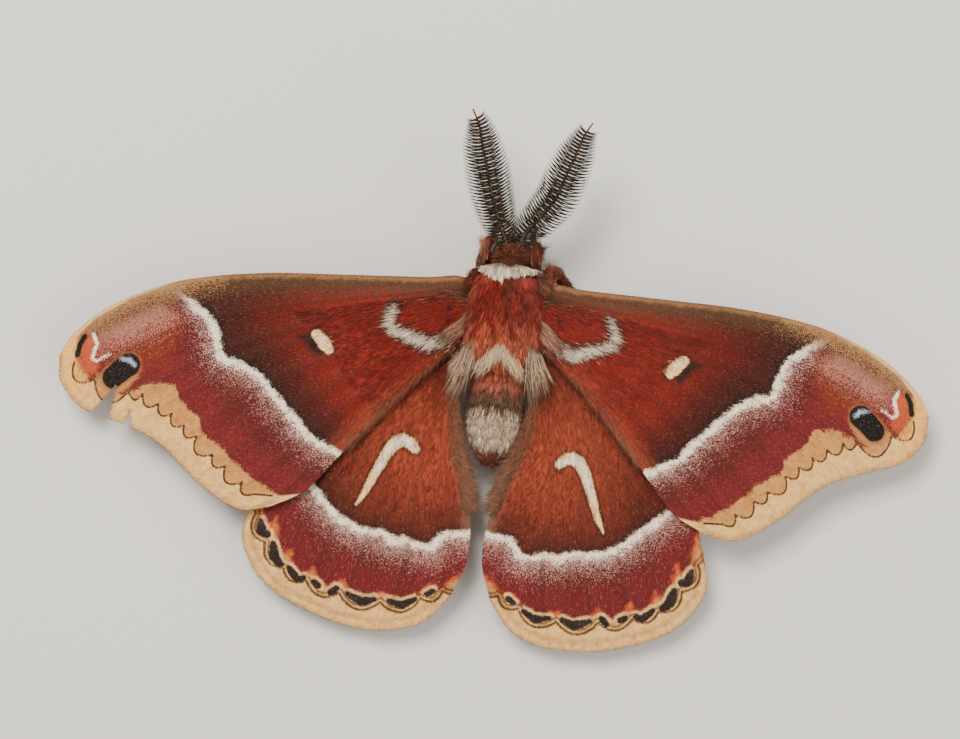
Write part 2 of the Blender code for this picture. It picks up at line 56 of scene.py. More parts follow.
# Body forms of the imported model: a centre, half sizes and how square the form is
THORAX = ((0.0, -2.7, 8.7), (4.3, 5.7, 4.1), 2.3)
THORAX_SKIN = ((0.0, -1.4, 8.7), (4.3, 6.6, 4.1), 2.8)
THORAX_COAT = ((0.0, -2.7, 8.7), (5.9, 8.6, 5.2), 2.3)
HEAD = ((0.4, 7.0, 8.3), (1.9, 1.7, 2.1), 2.0)
HEAD_SKIN = ((0.4, 6.8, 8.2), (1.5, 1.65, 1.95), 2.0)
NECK_RADIUS = 1.9
NECK = ((0.0, 1.5, 8.7, 2.6), (0.05, 3.5, 8.7, 2.5), (0.2, 5.0, 8.5, 2), (0.4, 7.0, 8.3, 1.8))
COAT_REAR = -8.3
SKIN_VOXEL = 0.14
ABDOMEN_RINGS = (
    (-7.2, 8.3, 2.4, 2.2), (-9.3, 8.1, 2.7, 2.4), (-11.3, 7.8, 3.0, 2.7), (-13.3, 7.5, 3.0, 2.7),
    (-15.3, 7.1, 2.85, 2.5), (-17.2, 6.7, 2.5, 2.2), (-18.5, 6.4, 2.0, 1.7), (-19.4, 6.3, 1.35, 1.1),
    (-19.9, 6.25, 0.6, 0.5),
)
COLLAR_CENTRE = (0.0, 4.4, 8.9)
COLLAR_RADIUS = (3.5, 3.0)
COLLAR_FRONT = ((-4.0, 4.5), (-3.0, 5.0), (-1.2, 5.3), (0.2, 4.9), (1.2, 5.3), (3.0, 5.1), (4.1, 4.7))
COLLAR_REAR = ((-4.0, 4.1), (-2.8, 3.6), (-1.9, 3.0), (-0.9, 2.7), (0.3, 3.6), (0.9, 3.3), (2.0, 3.7),
               (3.0, 3.9), (4.1, 4.4))
EYE_RADIUS = 1.05
EYE_SPREAD = 1.75
EYE_CENTRE = (0.4, 6.9, 8.0)

# The length of a row of the abdomen's hair, a hair's patch on its coat's map, and the map's empty rim
ABDOMEN_ROW = 1.55
BAKE_PATCH = 0.003
MAP_RIM = 0.01

# Wings: edges as seen from above, for the right side. A vein is its place across the wing and where along
# the wing it starts, and the cross vein is its place along the wing and the veins that it runs between.
ROOF_TOP = 9.6
ROOF_FALL_OUT = 0.0016
ROOF_FALL_BACK = 0.0028
SHEET_THICKNESS = 0.34
MEMBRANE_SHARE = 0.6
WINGS = {
    "forewing": {
        "lift": 0.8,
        "root": (1.4, -3.6),
        "pivot": (5.0, 0.0),
        "front": ((5.6, 3.0), (10.0, 2.7), (20.0, 2.5), (30.0, 2.2), (40.0, 0.8), (48.0, -2.4), (53.0, -6.3)),
        "corner": (54.7, -9.0),
        "margin": ((54.3, -12.2), (51.7, -15.1), (47.0, -16.75), (41.6, -19.2), (36.3, -24.0), (31.6, -26.7)),
        "heel": (27.6, -26.3),
        "inner": ((8.4, -7.4), (16.3, -15.9), (19.9, -20.2), (23.4, -24.1)),
        "cells": (230, 128),
        "veins": ((0.0, 0.0), (0.17, 0.0), (0.34, 0.38), (0.43, 0.38), (0.565, 0.38), (0.70, 0.0),
                  (0.82, 0.3), (0.93, 0.0)),
        "cross_vein": (0.38, 0.17, 0.70),
    },
    "hindwing": {
        "lift": -0.6,
        "root": (-4.0, -7.4),
        "pivot": (4.0, -4.0),
        "front": ((9.0, -3.2), (16.0, -6.8), (22.0, -14.0), (25.6, -22.0)),
        "corner": (27.9, -29.0),
        "margin": ((28.6, -33.9), (25.0, -39.0), (18.0, -42.0), (11.1, -42.9), (5.0, -41.2)),
        "heel": (1.5, -37.1),
        "inner": ((4.3, -10.0), (4.3, -14.0), (3.4, -18.5), (1.6, -23.0), (0.4, -27.5), (0.1, -32.5)),
        "cells": (190, 140),
        "veins": ((0.0, 0.0), (0.18, 0.0), (0.32, 0.36), (0.43, 0.36), (0.56, 0.0), (0.72, 0.3), (0.89, 0.0)),
        "cross_vein": (0.36, 0.18, 0.56),
    },
}
WING_POSE = {
    "forewing_right": (0.0, 1.0),
    "forewing_left": (-2.4, 1.025),
    "hindwing_right": (0.0, 1.0),
    "hindwing_left": (3.4, 1.0),
}
TEARS = (
    ((-47.9, -14.3), (-48.7, -20.5), (-51.9, -19.6)),
    ((-45.9, -17.2), (-45.7, -20.5), (-46.9, -20.5)),
)

# Lines of the wing pattern, for the right side. A blob is a line and its half widths along it.
MARKS = {
    "forewing": {
        "band": ((43.0, 0.6), (39.5, -1.0), (36.2, -3.3), (35.0, -5.5), (34.3, -8.0), (32.5, -8.7),
                 (30.5, -9.6), (28.5, -11.3), (27.0, -13.0), (25.0, -15.0), (23.5, -16.9), (21.0, -18.4),
                 (18.0, -19.8)),
        "lobes": ((25.0, -25.8), (27.3, -24.5), (29.7, -23.3), (31.2, -22.1), (32.3, -21.2), (33.6, -19.8),
                  (34.4, -19.1), (35.8, -18.2), (36.6, -17.4), (37.2, -15.7), (38.4, -14.9), (39.6, -13.4),
                  (40.2, -12.0), (42.0, -11.8), (44.5, -12.5), (46.0, -13.6),
                  (49.0, -13.4), (51.0, -11.8), (52.8, -9.4), (52.6, -6.0), (50.5, -3.0), (46.0, 0.5)),
        "lead": ((21.0, -24.2), (27.4, -25.0), (29.8, -24.9)),
        "cusps": ((29.8, -24.9), (31.2, -23.5), (33.4, -21.6), (35.0, -20.3), (37.1, -18.1), (38.7, -16.9),
                  (40.3, -15.5), (42.0, -14.4), (44.0, -13.3), (45.8, -13.1), (50.2, -11.9), (52.8, -9.7)),
        "bulge": 0.5,
        "trail": ((53.2, -8.2), (52.6, -6.6), (50.4, -4.3), (46.0, -1.6), (40.0, 0.9), (30.0, 2.6)),
        "blobs": {
            "bar": (((21.3, -6.7), (22.2, -5.6), (22.9, -4.9)), (0.55, 0.8, 0.72, 0.6)),
            "shine": (((21.7, -6.1), (22.3, -5.4), (22.7, -5.1)), (0.1, 0.4, 0.25)),
            "wedge": (((22.6, -6.9), (23.6, -5.5), (25.1, -5.3)), (0.75, 0.8, 0.25)),
            "basal": (((5.6, -3.9), (7.4, -5.0), (9.2, -5.5), (11.6, -4.7), (13.9, -3.8), (14.1, -2.6),
                       (13.4, -0.9)), (0.6, 0.8, 0.65, 0.5)),
            "spot": (((45.9, -9.8), (46.9, -10.55), (47.9, -11.5)), (1.35, 1.25)),
            "halo": (((46.2, -10.4), (47.6, -11.6), (48.6, -12.3)), (1.6, 1.9, 1.5)),
            "gleam": (((45.2, -9.9), (45.8, -9.2), (46.9, -9.1)), (0.15, 0.3, 0.12)),
            "apex_mist": (((42.5, -3.0), (46.5, -5.0), (50.0, -6.2)), (1.0, 0.9)),
            "zigzag": (((50.5, -6.3), (50.0, -7.4), (50.6, -9.2), (50.0, -9.6), (48.4, -8.6)), (0.24, 0.12)),
            "dash": (((51.6, -6.6), (52.2, -7.6), (52.5, -8.9)), (0.3, 0.36)),
            "rust": (((41.5, -5.0), (42.5, -7.6), (44.5, -8.2), (47.5, -7.9)), (1.3, 0.6)),
            "ember": (((51.0, -7.6), (51.3, -9.0), (50.8, -10.3)), (0.6, 0.5)),
            "scar": (((6.6, -0.6), (6.9, -1.6), (7.0, -2.4)), (0.2, 0.1)),
            "base": (((5.0, -1.5), (9.0, -2.6), (12.5, -2.0)), (2.2, 1.2)),
            "gold": (((53.6, -7.4), (54.2, -10.0), (52.6, -13.6)), (0.9, 1.6, 1.0)),
            "olive": (((36.0, 1.6), (42.0, 0.2), (47.0, -2.2), (51.5, -5.6)), (0.2, 1.1, 0.9, 0.5)),
        },
    },
    "hindwing": {
        "band": ((-1.5, -28.4), (0.8, -28.7), (3.5, -29.3), (5.0, -31.0), (6.5, -31.0), (8.0, -30.6),
                 (9.5, -31.0), (11.0, -30.2), (13.5, -30.2), (16.0, -29.5), (18.0, -28.2), (20.0, -26.3),
                 (22.5, -24.2), (26.0, -21.5)),
        "lobes": ((-2.0, -33.0), (1.5, -34.6), (3.0, -36.4), (4.4, -36.2), (6.0, -38.1), (8.4, -38.9),
                  (10.1, -37.7), (11.4, -39.1), (13.6, -39.2), (15.3, -37.0), (16.6, -38.6), (17.8, -38.3),
                  (19.2, -36.0), (20.6, -37.6), (21.7, -36.4), (22.3, -34.2), (23.6, -35.2), (24.3, -33.2),
                  (24.6, -30.4), (26.0, -32.0), (26.6, -29.6), (26.9, -26.0), (25.0, -23.0)),
        "cusps": ((-0.5, -35.0), (2.6, -36.6), (5.2, -38.0), (10.2, -39.3), (15.5, -38.9), (19.8, -38.0),
                  (23.0, -36.8), (25.7, -34.0), (27.4, -30.4), (26.8, -25.0)),
        "bulge": 0.3,
        "lead": ((-3.0, -33.0), (-0.5, -35.0)),
        "trail": ((26.4, -22.0), (22.0, -13.0)),
        "blobs": {
            "lunule": (((8.7, -19.3), (9.4, -18.6), (10.3, -18.4), (11.2, -18.9), (12.1, -20.4),
                        (13.0, -22.6), (14.1, -25.6), (15.0, -27.4)),
                       (0.6, 0.78, 0.74, 0.66, 0.58, 0.5, 0.38, 0.12)),
            "glow": (((8.8, -19.2), (10.2, -18.4), (11.2, -18.9), (12.1, -20.5), (13.0, -22.8),
                      (13.6, -24.4)), (0.38, 0.56, 0.46, 0.4, 0.28, 0.05)),
            "moon_1": (((3.8, -36.9), (4.6, -37.4)), (0.4, 0.3)),
            "moon_2": (((5.9, -38.3), (7.4, -39.2), (9.2, -38.9)), (0.3, 0.5, 0.3)),
            "moon_3": (((11.0, -39.0), (12.5, -39.6), (14.5, -38.8)), (0.35, 0.6, 0.3)),
            "moon_4": (((15.9, -38.4), (16.5, -39.0)), (0.4, 0.5)),
            "moon_5": (((18.3, -38.4), (18.9, -38.0)), (0.4, 0.35)),
            "moon_6": (((20.2, -37.7), (20.9, -38.1), (22.3, -36.7)), (0.35, 0.5, 0.3)),
            "moon_7": (((23.5, -36.4), (24.3, -35.6), (24.7, -33.9)), (0.5, 0.7, 0.35)),
            "moon_8": (((25.6, -32.9), (26.3, -32.7), (26.7, -31.3)), (0.45, 0.7, 0.35)),
        },
    },
}

# Colours of the moth's finishes. They are deeper than they look, as the studio light softens them.
TINTS = {
    "crimson": (151, 34, 21), "ruby": (124, 32, 37), "brick": (66, 14, 5), "umber": (48, 18, 9),
    "rust": (170, 70, 43), "ochre": (120, 44, 20), "wine": (90, 27, 25), "white": (255, 236, 210),
    "powder": (240, 200, 184), "tan": (204, 146, 82), "cream": (240, 192, 120), "cream_rim": (178, 126, 76),
    "line": (44, 24, 14), "soot": (18, 15, 12), "slate": (40, 32, 30), "costa": (178, 130, 84),
    "costa_dark": (52, 32, 20), "bar": (255, 208, 140), "mist": (206, 140, 124), "ember": (206, 88, 46),
    "gleam": (190, 200, 216), "ring": (150, 80, 44), "gold": (255, 188, 96), "margin_hair": (130, 92, 68),
    "thorax": (151, 43, 31), "thorax_rear": (214, 106, 74), "vee": (255, 220, 184),
    "collar": (255, 232, 206), "tuft": (176, 142, 112), "tuft_pale": (226, 196, 164),
    "abdomen": (178, 98, 74), "abdomen_dark": (108, 76, 58), "abdomen_white": (255, 226, 194),
    "abdomen_tip": (116, 50, 30), "head": (80, 38, 22), "leg": (114, 52, 32), "leg_light": (204, 112, 66),
    # The feelers' gold tint is a painted highlight.
    "feeler": (24, 16, 10), "feeler_tip": (112, 52, 34), "painted_gold_glint": (122, 92, 54), "eye": (10, 7, 5),
    "claw": (32, 16, 9), "floor": (222, 220, 216),
}

# Coats of colour on each wing, first to last: tint, field, from, to, softness, raggedness, grain and strength
COATS = {
    "forewing": (
        ("brick", "length", 16.0, None, 24.0, 4.0, 6.0, 0.95),
        ("umber", "band", -3.4, 0.4, 5.0, 1.6, 2.0, 0.75),
        ("soot", "band", -0.9, 0.3, 0.8, 0.8, 1.5, 0.75),
        ("rust", "inner", None, 1.6, 2.4, 1.0, 1.0, 0.5),
        ("crimson", "base", None, 0.5, 2.2, 1.0, 1.0, 0.9),
        ("soot", "wedge", None, 0.0, 0.9, 0.8, 1.2, 0.9),
        ("umber", "bar", None, 0.3, 0.4, 0.3, 0.8, 0.8),
        ("bar", "bar", None, 0.0, 0.2, 0.3, 0.7, 1.0),
        ("white", "shine", None, 0.0, 0.5, 0.3, 0.7, 0.9),
        ("wine", "band", 0.3, None, 0.6, 0.6, 2.0, 1.0),
        ("ruby", "lobes", -3.4, 0.3, 3.2, 6.0, 8.0, 0.5),
        ("ochre", "rust", None, 0.8, 2.4, 1.2, 4.0, 0.75),
        ("powder", "band", 0.1, 0.9, 0.5, 2.0, 15.0, 0.55),
        ("mist", "apex_mist", None, 0.7, 1.0, 1.5, 14.0, 0.7),
        ("white", "band", -0.1, 0.75, 0.3, 1.2, 2.6, 1.0),
        ("soot", "basal", None, 0.5, 0.8, 0.5, 1.2, 0.7),
        ("white", "basal", None, -0.15, 0.3, 0.5, 3.5, 0.95),
        ("costa", "front", None, 1.9, 0.5, 0.6, 7.0, 0.85),
        ("costa_dark", "front", 0.6, 2.6, 0.4, 0.6, 9.0, 0.85),
        ("costa_dark", "front", None, 0.7, 0.5, 0.6, 12.0, 0.6),
        ("costa", "olive", None, 0.2, 0.8, 0.8, 12.0, 0.8),
        ("tan", "lobes", 0.0, None, 0.2, 1.3, 1.6, 1.0),
        ("cream", "scallop", 0.0, None, 0.3, 0.1, 0.3, 1.0),
        ("gold", "gold", None, 0.2, 1.8, 0.5, 1.2, 0.75),
        ("cream_rim", "rim", None, 0.35, 0.7, 0.3, 0.8, 0.55),
        ("ember", "ember", None, 0.5, 0.8, 0.4, 3.0, 0.7),
        ("tan", "halo", None, 0.0, 0.5, 0.4, 1.6, 0.75),
        ("ring", "spot", None, 0.36, 0.4, 0.4, 0.8, 0.7),
        ("soot", "spot", None, 0.06, 0.12, 0.1, 0.3, 1.0),
        ("gleam", "gleam", None, 0.0, 0.3, 0.4, 1.1, 0.7),
        ("white", "zigzag", None, 0.0, 0.15, 0.3, 0.8, 1.0),
        ("soot", "dash", None, 0.0, 0.2, 0.2, 0.3, 1.0),
        ("soot", "scar", None, 0.0, 0.1, 0.4, 0.6, 0.9),
        ("line", "thread", None, 0.13, 0.09, 0.05, 0.2, 0.95),
    ),
    "hindwing": (
        ("brick", "length", 19.0, None, 18.0, 4.0, 6.0, 0.75),
        ("brick", "front", None, 8.5, 8.0, 3.0, 5.0, 0.5),
        ("umber", "band", -2.6, 0.4, 5.0, 1.6, 2.0, 0.7),
        ("soot", "band", -0.8, 0.3, 0.8, 0.8, 1.5, 0.55),
        ("margin_hair", "inner", None, 0.9, 1.6, 0.8, 1.0, 0.7),
        ("wine", "band", 0.3, None, 0.6, 0.6, 2.0, 1.0),
        ("ruby", "lobes", -3.0, 0.3, 3.0, 6.0, 8.0, 0.4),
        ("powder", "band", 0.1, 1.3, 0.6, 2.0, 15.0, 0.55),
        ("white", "band", -0.1, 0.75, 0.3, 1.2, 2.6, 1.0),
        ("soot", "lunule", None, 0.3, 0.6, 0.4, 0.8, 0.8),
        ("bar", "lunule", None, 0.0, 0.2, 0.2, 0.6, 1.0),
        ("white", "glow", None, 0.0, 0.35, 0.3, 0.6, 0.95),
        ("ember", "lobes", 0.0, 0.9, 0.4, 1.6, 3.4, 0.8),
        ("tan", "lobes", 0.45, None, 0.4, 1.4, 3.0, 1.0),
        ("bar", "moons", None, 0.42, 0.3, 0.5, 0.9, 0.7),
        ("slate", "moons", None, 0.06, 0.16, 0.3, 0.6, 1.0),
        ("cream", "scallop", 0.0, None, 0.3, 0.2, 0.4, 1.0),
        ("cream_rim", "rim", 0.9, 1.4, 0.5, 0.6, 2.0, 0.6),
        ("cream_rim", "rim", None, 0.3, 0.5, 0.3, 0.8, 0.4),
        ("line", "thread", None, 0.17, 0.14, 0.1, 0.5, 0.9),
        ("line", "second", None, 0.15, 0.16, 0.1, 0.5, 0.8),
    ),
}
GROUNDS = {"forewing": "crimson", "hindwing": "rust"}

# Feelers and legs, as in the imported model
SHAFTS = {
    "left": ((-1.3, 9.4, 10.1), (-2.0, 11.0, 10.8), (-2.9, 13.5, 11.9), (-3.7, 16.2, 12.8),
             (-4.6, 19.2, 13.5), (-5.2, 21.6, 13.9), (-6.2, 23.6, 14.0)),
    "right": ((1.9, 9.4, 10.1), (3.3, 11.1, 10.9), (5.0, 13.6, 12.0), (6.0, 16.4, 12.9), (7.0, 19.2, 13.6),
              (7.8, 21.6, 14.0), (8.7, 23.2, 14.1)),
}
SHAFT_GIRTH = 0.62
RAY_LENGTH = 3.0
RAY_LIFT = 0.28
RAY_SWEEP = 0.25
RAY_GIRTHS = (0.27, 0.22, 0.17, 0.13)
RAYS_A_SIDE = 42
BRISTLES_A_RAY = 14
BRISTLE_REACH = 0.24
BRISTLE_GIRTH = 0.035
SOLE = 0.25
LEGS = {
    "leg_front_left": ((-0.35, 0.75, -0.55), (-2.7, 7.9, 6.0), (-2.6, 7.6, 1.2), (-1.9, 10.2, SOLE)),
    "leg_front_right": ((0.35, 0.75, -0.55), (3.3, 7.7, 6.0), (3.3, 7.3, 1.2), (2.6, 9.9, SOLE)),
    "leg_mid_left": ((-0.6, 0.1, -0.8), (-7.2, 1.4, 5.8), (-10.0, 0.6, 1.2), (-12.5, 1.2, SOLE)),
    "leg_mid_right": ((0.6, 0.2, -0.8), (5.8, 5.2, 5.8), (8.3, 2.4, 1.2), (11.0, 1.3, SOLE)),
    "leg_hind_left": ((-0.5, -0.5, -0.75), (-6.8, -8.6, 5.6), (-9.3, -14.6, 1.2), (-11.2, -18.4, SOLE)),
    "leg_hind_right": ((0.5, -0.5, -0.75), (6.8, -8.6, 5.6), (9.3, -14.6, 1.2), (11.2, -18.4, SOLE)),
}
FEMUR = 1.3
TIBIA = 1.0
TARSUS = 0.6

# A claw's points from the toe, along the foot, out to the side and up, and its girths
CLAW_HOOK = ((-0.25, 0.06, 0.0), (0.02, 0.14, 0.06), (0.1, 0.17, -0.05), (0.08, 0.15, -0.2))
CLAW_GIRTHS = (0.13, 0.12, 0.08)

# Rises of a hair: how far from its root each of its points lies, and how high in the coat
THORAX_RISE = ((0.0, -0.15), (0.3, 0.42), (0.65, 0.8), (1.0, 0.97))
ABDOMEN_RISE = ((0.0, -0.2), (0.3, 0.45), (0.7, 0.85), (1.0, 1.0))
COLLAR_RISE = ((0.0, -0.3), (0.3, 0.55), (0.65, 0.9), (1.0, 0.45))
WING_RISE = ((0.0, -0.1), (0.45, 0.9), (1.0, 0.8))

# Where each coat's map starts and ends along the body
THORAX_MAP = (5.0, -9.0)
ABDOMEN_MAP = (-7.0, -20.5)
COLLAR_MAP = (6.0, 3.0)
HEAD_MAP = (9.5, 5.0)

# Hairs: how many each coat has, and between which girths. A wing has some on its base and some as a fringe.
COAT_HAIRS = {"thorax_coat": 12000, "thorax_coat_under": 5000, "abdomen_coat": 12200, "collar_coat": 6500,
              "head_coat": 5600}
LEG_HAIRS = (1300, 1000, 260)
WING_HAIRS = {"forewing": (5000, 1500), "hindwing": (6300, 3000)}
RIM_HAIRS = 1700
RIM_CLEARANCE = 0.06
FINE_HAIR = (0.05, 0.1)
SHORT_HAIR = (0.06, 0.12)
LONG_HAIR = (0.07, 0.14)

# Loose tufts on the right side: count, roots, tips, rise, how far they stray, and their colours
TUFTS = (
    (2100, ((3.2, -4.6, 12.0), (4.0, -5.6, 11.4), (4.6, -6.0, 11.0)),
     ((4.1, -10.9, 11.0), (5.2, -10.4, 10.9), (6.4, -9.0, 10.9)), 0.5, (0.4, 0.5, 0.2),
     ("tuft", "tuft", "tuft_pale", "tuft_pale", "head")),
    (620, ((4.3, -1.5, 11.4), (4.5, -2.4, 11.2), (4.5, -3.3, 11.1)),
     ((6.9, -4.1, 10.9), (8.1, -5.1, 10.8), (6.4, -5.6, 10.9)), 0.25, (0.35, 0.45, 0.1),
     ("tuft", "margin_hair", "tuft", "crimson")),
    (330, ((3.1, 4.9, 9.6), (3.6, 4.8, 9.0), (4.0, 4.5, 8.4)),
     ((2.7, 7.9, 9.5), (3.0, 7.6, 9.0), (3.4, 6.8, 8.4)), 0.1, (0.25, 0.3, 0.2),
     ("leg", "leg", "leg_light", "head")),
    (700, ((3.4, 4.2, 10.4), (4.0, 3.4, 10.4), (4.3, 2.4, 10.6)),
     ((4.8, 3.4, 10.5), (5.5, 2.4, 10.6), (5.4, 1.0, 10.8)), 0.3, (0.4, 0.5, 0.2),
     ("head", "costa_dark", "margin_hair", "crimson")),
    (850, ((0.0, -4.8, 13.0), (1.0, -5.9, 12.9), (2.0, -7.0, 12.0)),
     ((0.4, -7.1, 13.0), (1.8, -8.3, 12.4), (3.1, -9.2, 11.3)), 0.35, (0.4, 0.6, 0.3),
     ("vee", "vee", "bar", "tuft_pale")),
)

CAMERA_LENS = 100.0
PHOTO_WIDTH = 120.0
PHOTO_CENTRE = (-2.37, -8.32)
PHOTO_TURN = math.radians(5.3)
SENSOR_WIDTH = 36.0
WING_PLANE = 9.5
FLOOR_HALF = 1.5

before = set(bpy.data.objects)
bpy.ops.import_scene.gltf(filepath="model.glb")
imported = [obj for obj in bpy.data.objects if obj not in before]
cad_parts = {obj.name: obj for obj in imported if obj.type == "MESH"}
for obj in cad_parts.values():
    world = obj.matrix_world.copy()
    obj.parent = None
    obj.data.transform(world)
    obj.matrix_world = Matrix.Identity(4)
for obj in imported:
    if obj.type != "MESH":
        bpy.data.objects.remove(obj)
cad_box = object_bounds()
low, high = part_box("eye_right")
SHIFT = Vector([(low[k] + high[k]) / 2 / METRES for k in range(3)])
SHIFT -= Vector((EYE_CENTRE[0] + EYE_SPREAD, EYE_CENTRE[1], EYE_CENTRE[2]))
rng = np.random.default_rng(SEED)


def tint(name):
    """A named colour as the shader's linear values."""
    return tuple((c / 255 / 12.92 if c < 11 else ((c / 255 + 0.055) / 1.055) ** 2.4) for c in TINTS[name])


def evenly(name, count):
    """The same named colour for each of count hairs."""
    return np.repeat(np.array([tint(name)]), count, axis=0)


def upward(count):
    return np.repeat(np.array([(0.0, 0.0, 1.0)]), count, axis=0)


def gathered(groups):
    """Groups of hairs put end to end: an array of paths, and one of each other thing known of them."""
    return [np.concatenate(rows) for rows in zip(*groups)]


def points_of(mesh, kind):
    points = np.empty(len(mesh.vertices) * 3, dtype=kind)
    mesh.vertices.foreach_get("co", points)
    return points.reshape(-1, 3)


def mesh_from(bm, name):
    mesh = bpy.data.meshes.new(name)
    bm.to_mesh(mesh)
    bm.free()
    return mesh


def linked(name, data):
    piece = bpy.data.objects.new(name, data)
    bpy.context.scene.collection.objects.link(piece)
    return piece


def unit(vectors):
    return vectors / np.maximum(np.linalg.norm(vectors, axis=-1, keepdims=True), 1e-9)


def set_field(mesh, name, values):
    """Keeps a number for each point of a mesh, for its finish to read."""
    store = mesh.attributes.new(name, "FLOAT", "POINT")
    store.data.foreach_set("value", np.asarray(values, dtype=np.float32).ravel())


def set_tint(mesh, colours):
    store = mesh.attributes.new("tint", "FLOAT_COLOR", "POINT")
    rows = np.ones((len(colours), 4), dtype=np.float32)
    rows[:, :3] = colours
    store.data.foreach_set("color", rows.ravel())


def finished(name, mesh, material, slot, *nodes):
    """Puts a mesh made in millimetres in its place in metres and gives it its material and body. The slot is
    not used.
    """
    points = (points_of(mesh, np.float32) + np.array(SHIFT, dtype=np.float32)) * METRES
    mesh.vertices.foreach_set("co", points.ravel())
    mesh.update()
    mesh.shade_smooth()
    mesh.materials.clear()
    mesh.materials.append(material)
    piece = linked(name, mesh)
    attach(piece, BODY)
    if nodes:
        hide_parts(*nodes)
    return piece


class Finish:
    """A material whose colour is laid on in coats, each within a range of one of the piece's own fields."""

    def __init__(self, name, roughness, specular=0.3):
        self.material = bpy.data.materials.new(name)
        self.material.use_nodes = True
        self.tree = self.material.node_tree
        self.shader = self.tree.nodes["Principled BSDF"]
        self.shader.inputs["Roughness"].default_value = roughness
        self.shader.inputs["Specular IOR Level"].default_value = specular
        self.place = self.add("ShaderNodeTexCoord").outputs["Object"]
        self.colour = None

    def add(self, kind, **values):
        node = self.tree.nodes.new(kind)
        for key, value in values.items():
            setattr(node, key, value)
        return node

    def feed(self, socket, value):
        """Sets a socket to a number or a colour, or joins it to another node's output."""
        if isinstance(value, tuple):
            socket.default_value = value + (1,)
        elif isinstance(value, (int, float)):
            socket.default_value = value
        else:
            self.tree.links.new(value, socket)

    def maths(self, operation, a, b):
        node = self.add("ShaderNodeMath", operation=operation)
        self.feed(node.inputs[0], a)
        self.feed(node.inputs[1], b)
        return node.outputs[0]

    def plus(self, a, b):
        return self.maths("ADD", a, b)

    def less(self, a, b):
        return self.maths("SUBTRACT", a, b)

    def times(self, a, b):
        return self.maths("MULTIPLY", a, b)

    def field(self, name):
        return self.add("ShaderNodeAttribute", attribute_name=name).outputs["Fac"]

    def noise(self, size, detail=2.0, lie=None):
        """Noise whose grains are size millimetres wide. A lie stretches it along the piece's own map."""
        node = self.add("ShaderNodeTexNoise")
        node.inputs["Detail"].default_value = detail
        node.inputs["Scale"].default_value = 1 / (size * METRES)
        source = self.place
        if lie:
            mapping = self.add("ShaderNodeMapping")
            self.feed(mapping.inputs["Vector"], self.add("ShaderNodeUVMap", uv_map="lie").outputs["UV"])
            mapping.inputs["Scale"].default_value = (1 / lie, 1.0, 1.0)
            source = mapping.outputs["Vector"]
        self.feed(node.inputs["Vector"], source)
        return node.outputs["Fac"]

    def ramp(self, value, low, high):
        node = self.add("ShaderNodeMapRange", interpolation_type="SMOOTHSTEP")
        self.feed(node.inputs["Value"], value)
        node.inputs["From Min"].default_value = low
        node.inputs["From Max"].default_value = high
        return node.outputs["Result"]

    def mix(self, share, colour, blend="MIX"):
        node = self.add("ShaderNodeMix", data_type="RGBA", blend_type=blend)
        self.feed(node.inputs["Factor"], share)
        self.feed(node.inputs["A"], self.colour)
        self.feed(node.inputs["B"], colour)
        self.colour = node.outputs["Result"]

    def darken(self, share, colour):
        self.mix(share, colour, "MULTIPLY")

    def lighten(self, share, colour):
        self.mix(share, colour, "SCREEN")

    def coat(self, colour, field, start, end, soft, ragged, grained, strength, clump, grain):
        near = self.plus(self.field(field), self.times(clump, ragged))
        share = None
        if start is not None:
            value = self.plus(near, self.times(grain, min(grained, 1.5)))
            share = self.ramp(value, start - soft / 2, start + soft / 2)
        if end is not None:
            value = self.plus(near, self.times(grain, grained))
            under = self.less(1.0, self.ramp(value, end - soft / 2, end + soft / 2))
            share = under if share is None else self.times(share, under)
        self.mix(self.times(share, strength), tint(colour))

    def bump(self, height, depth, strength):
        node = self.add("ShaderNodeBump")
        node.inputs["Distance"].default_value = depth * METRES
        node.inputs["Strength"].default_value = strength
        self.feed(node.inputs["Height"], height)
        self.feed(self.shader.inputs["Normal"], node.outputs["Normal"])

    def sheen(self, weight, roughness):
        self.shader.inputs["Sheen Weight"].default_value = weight
        self.shader.inputs["Sheen Roughness"].default_value = roughness

    def close(self):
        self.feed(self.shader.inputs["Base Color"], self.colour)
        return self.material


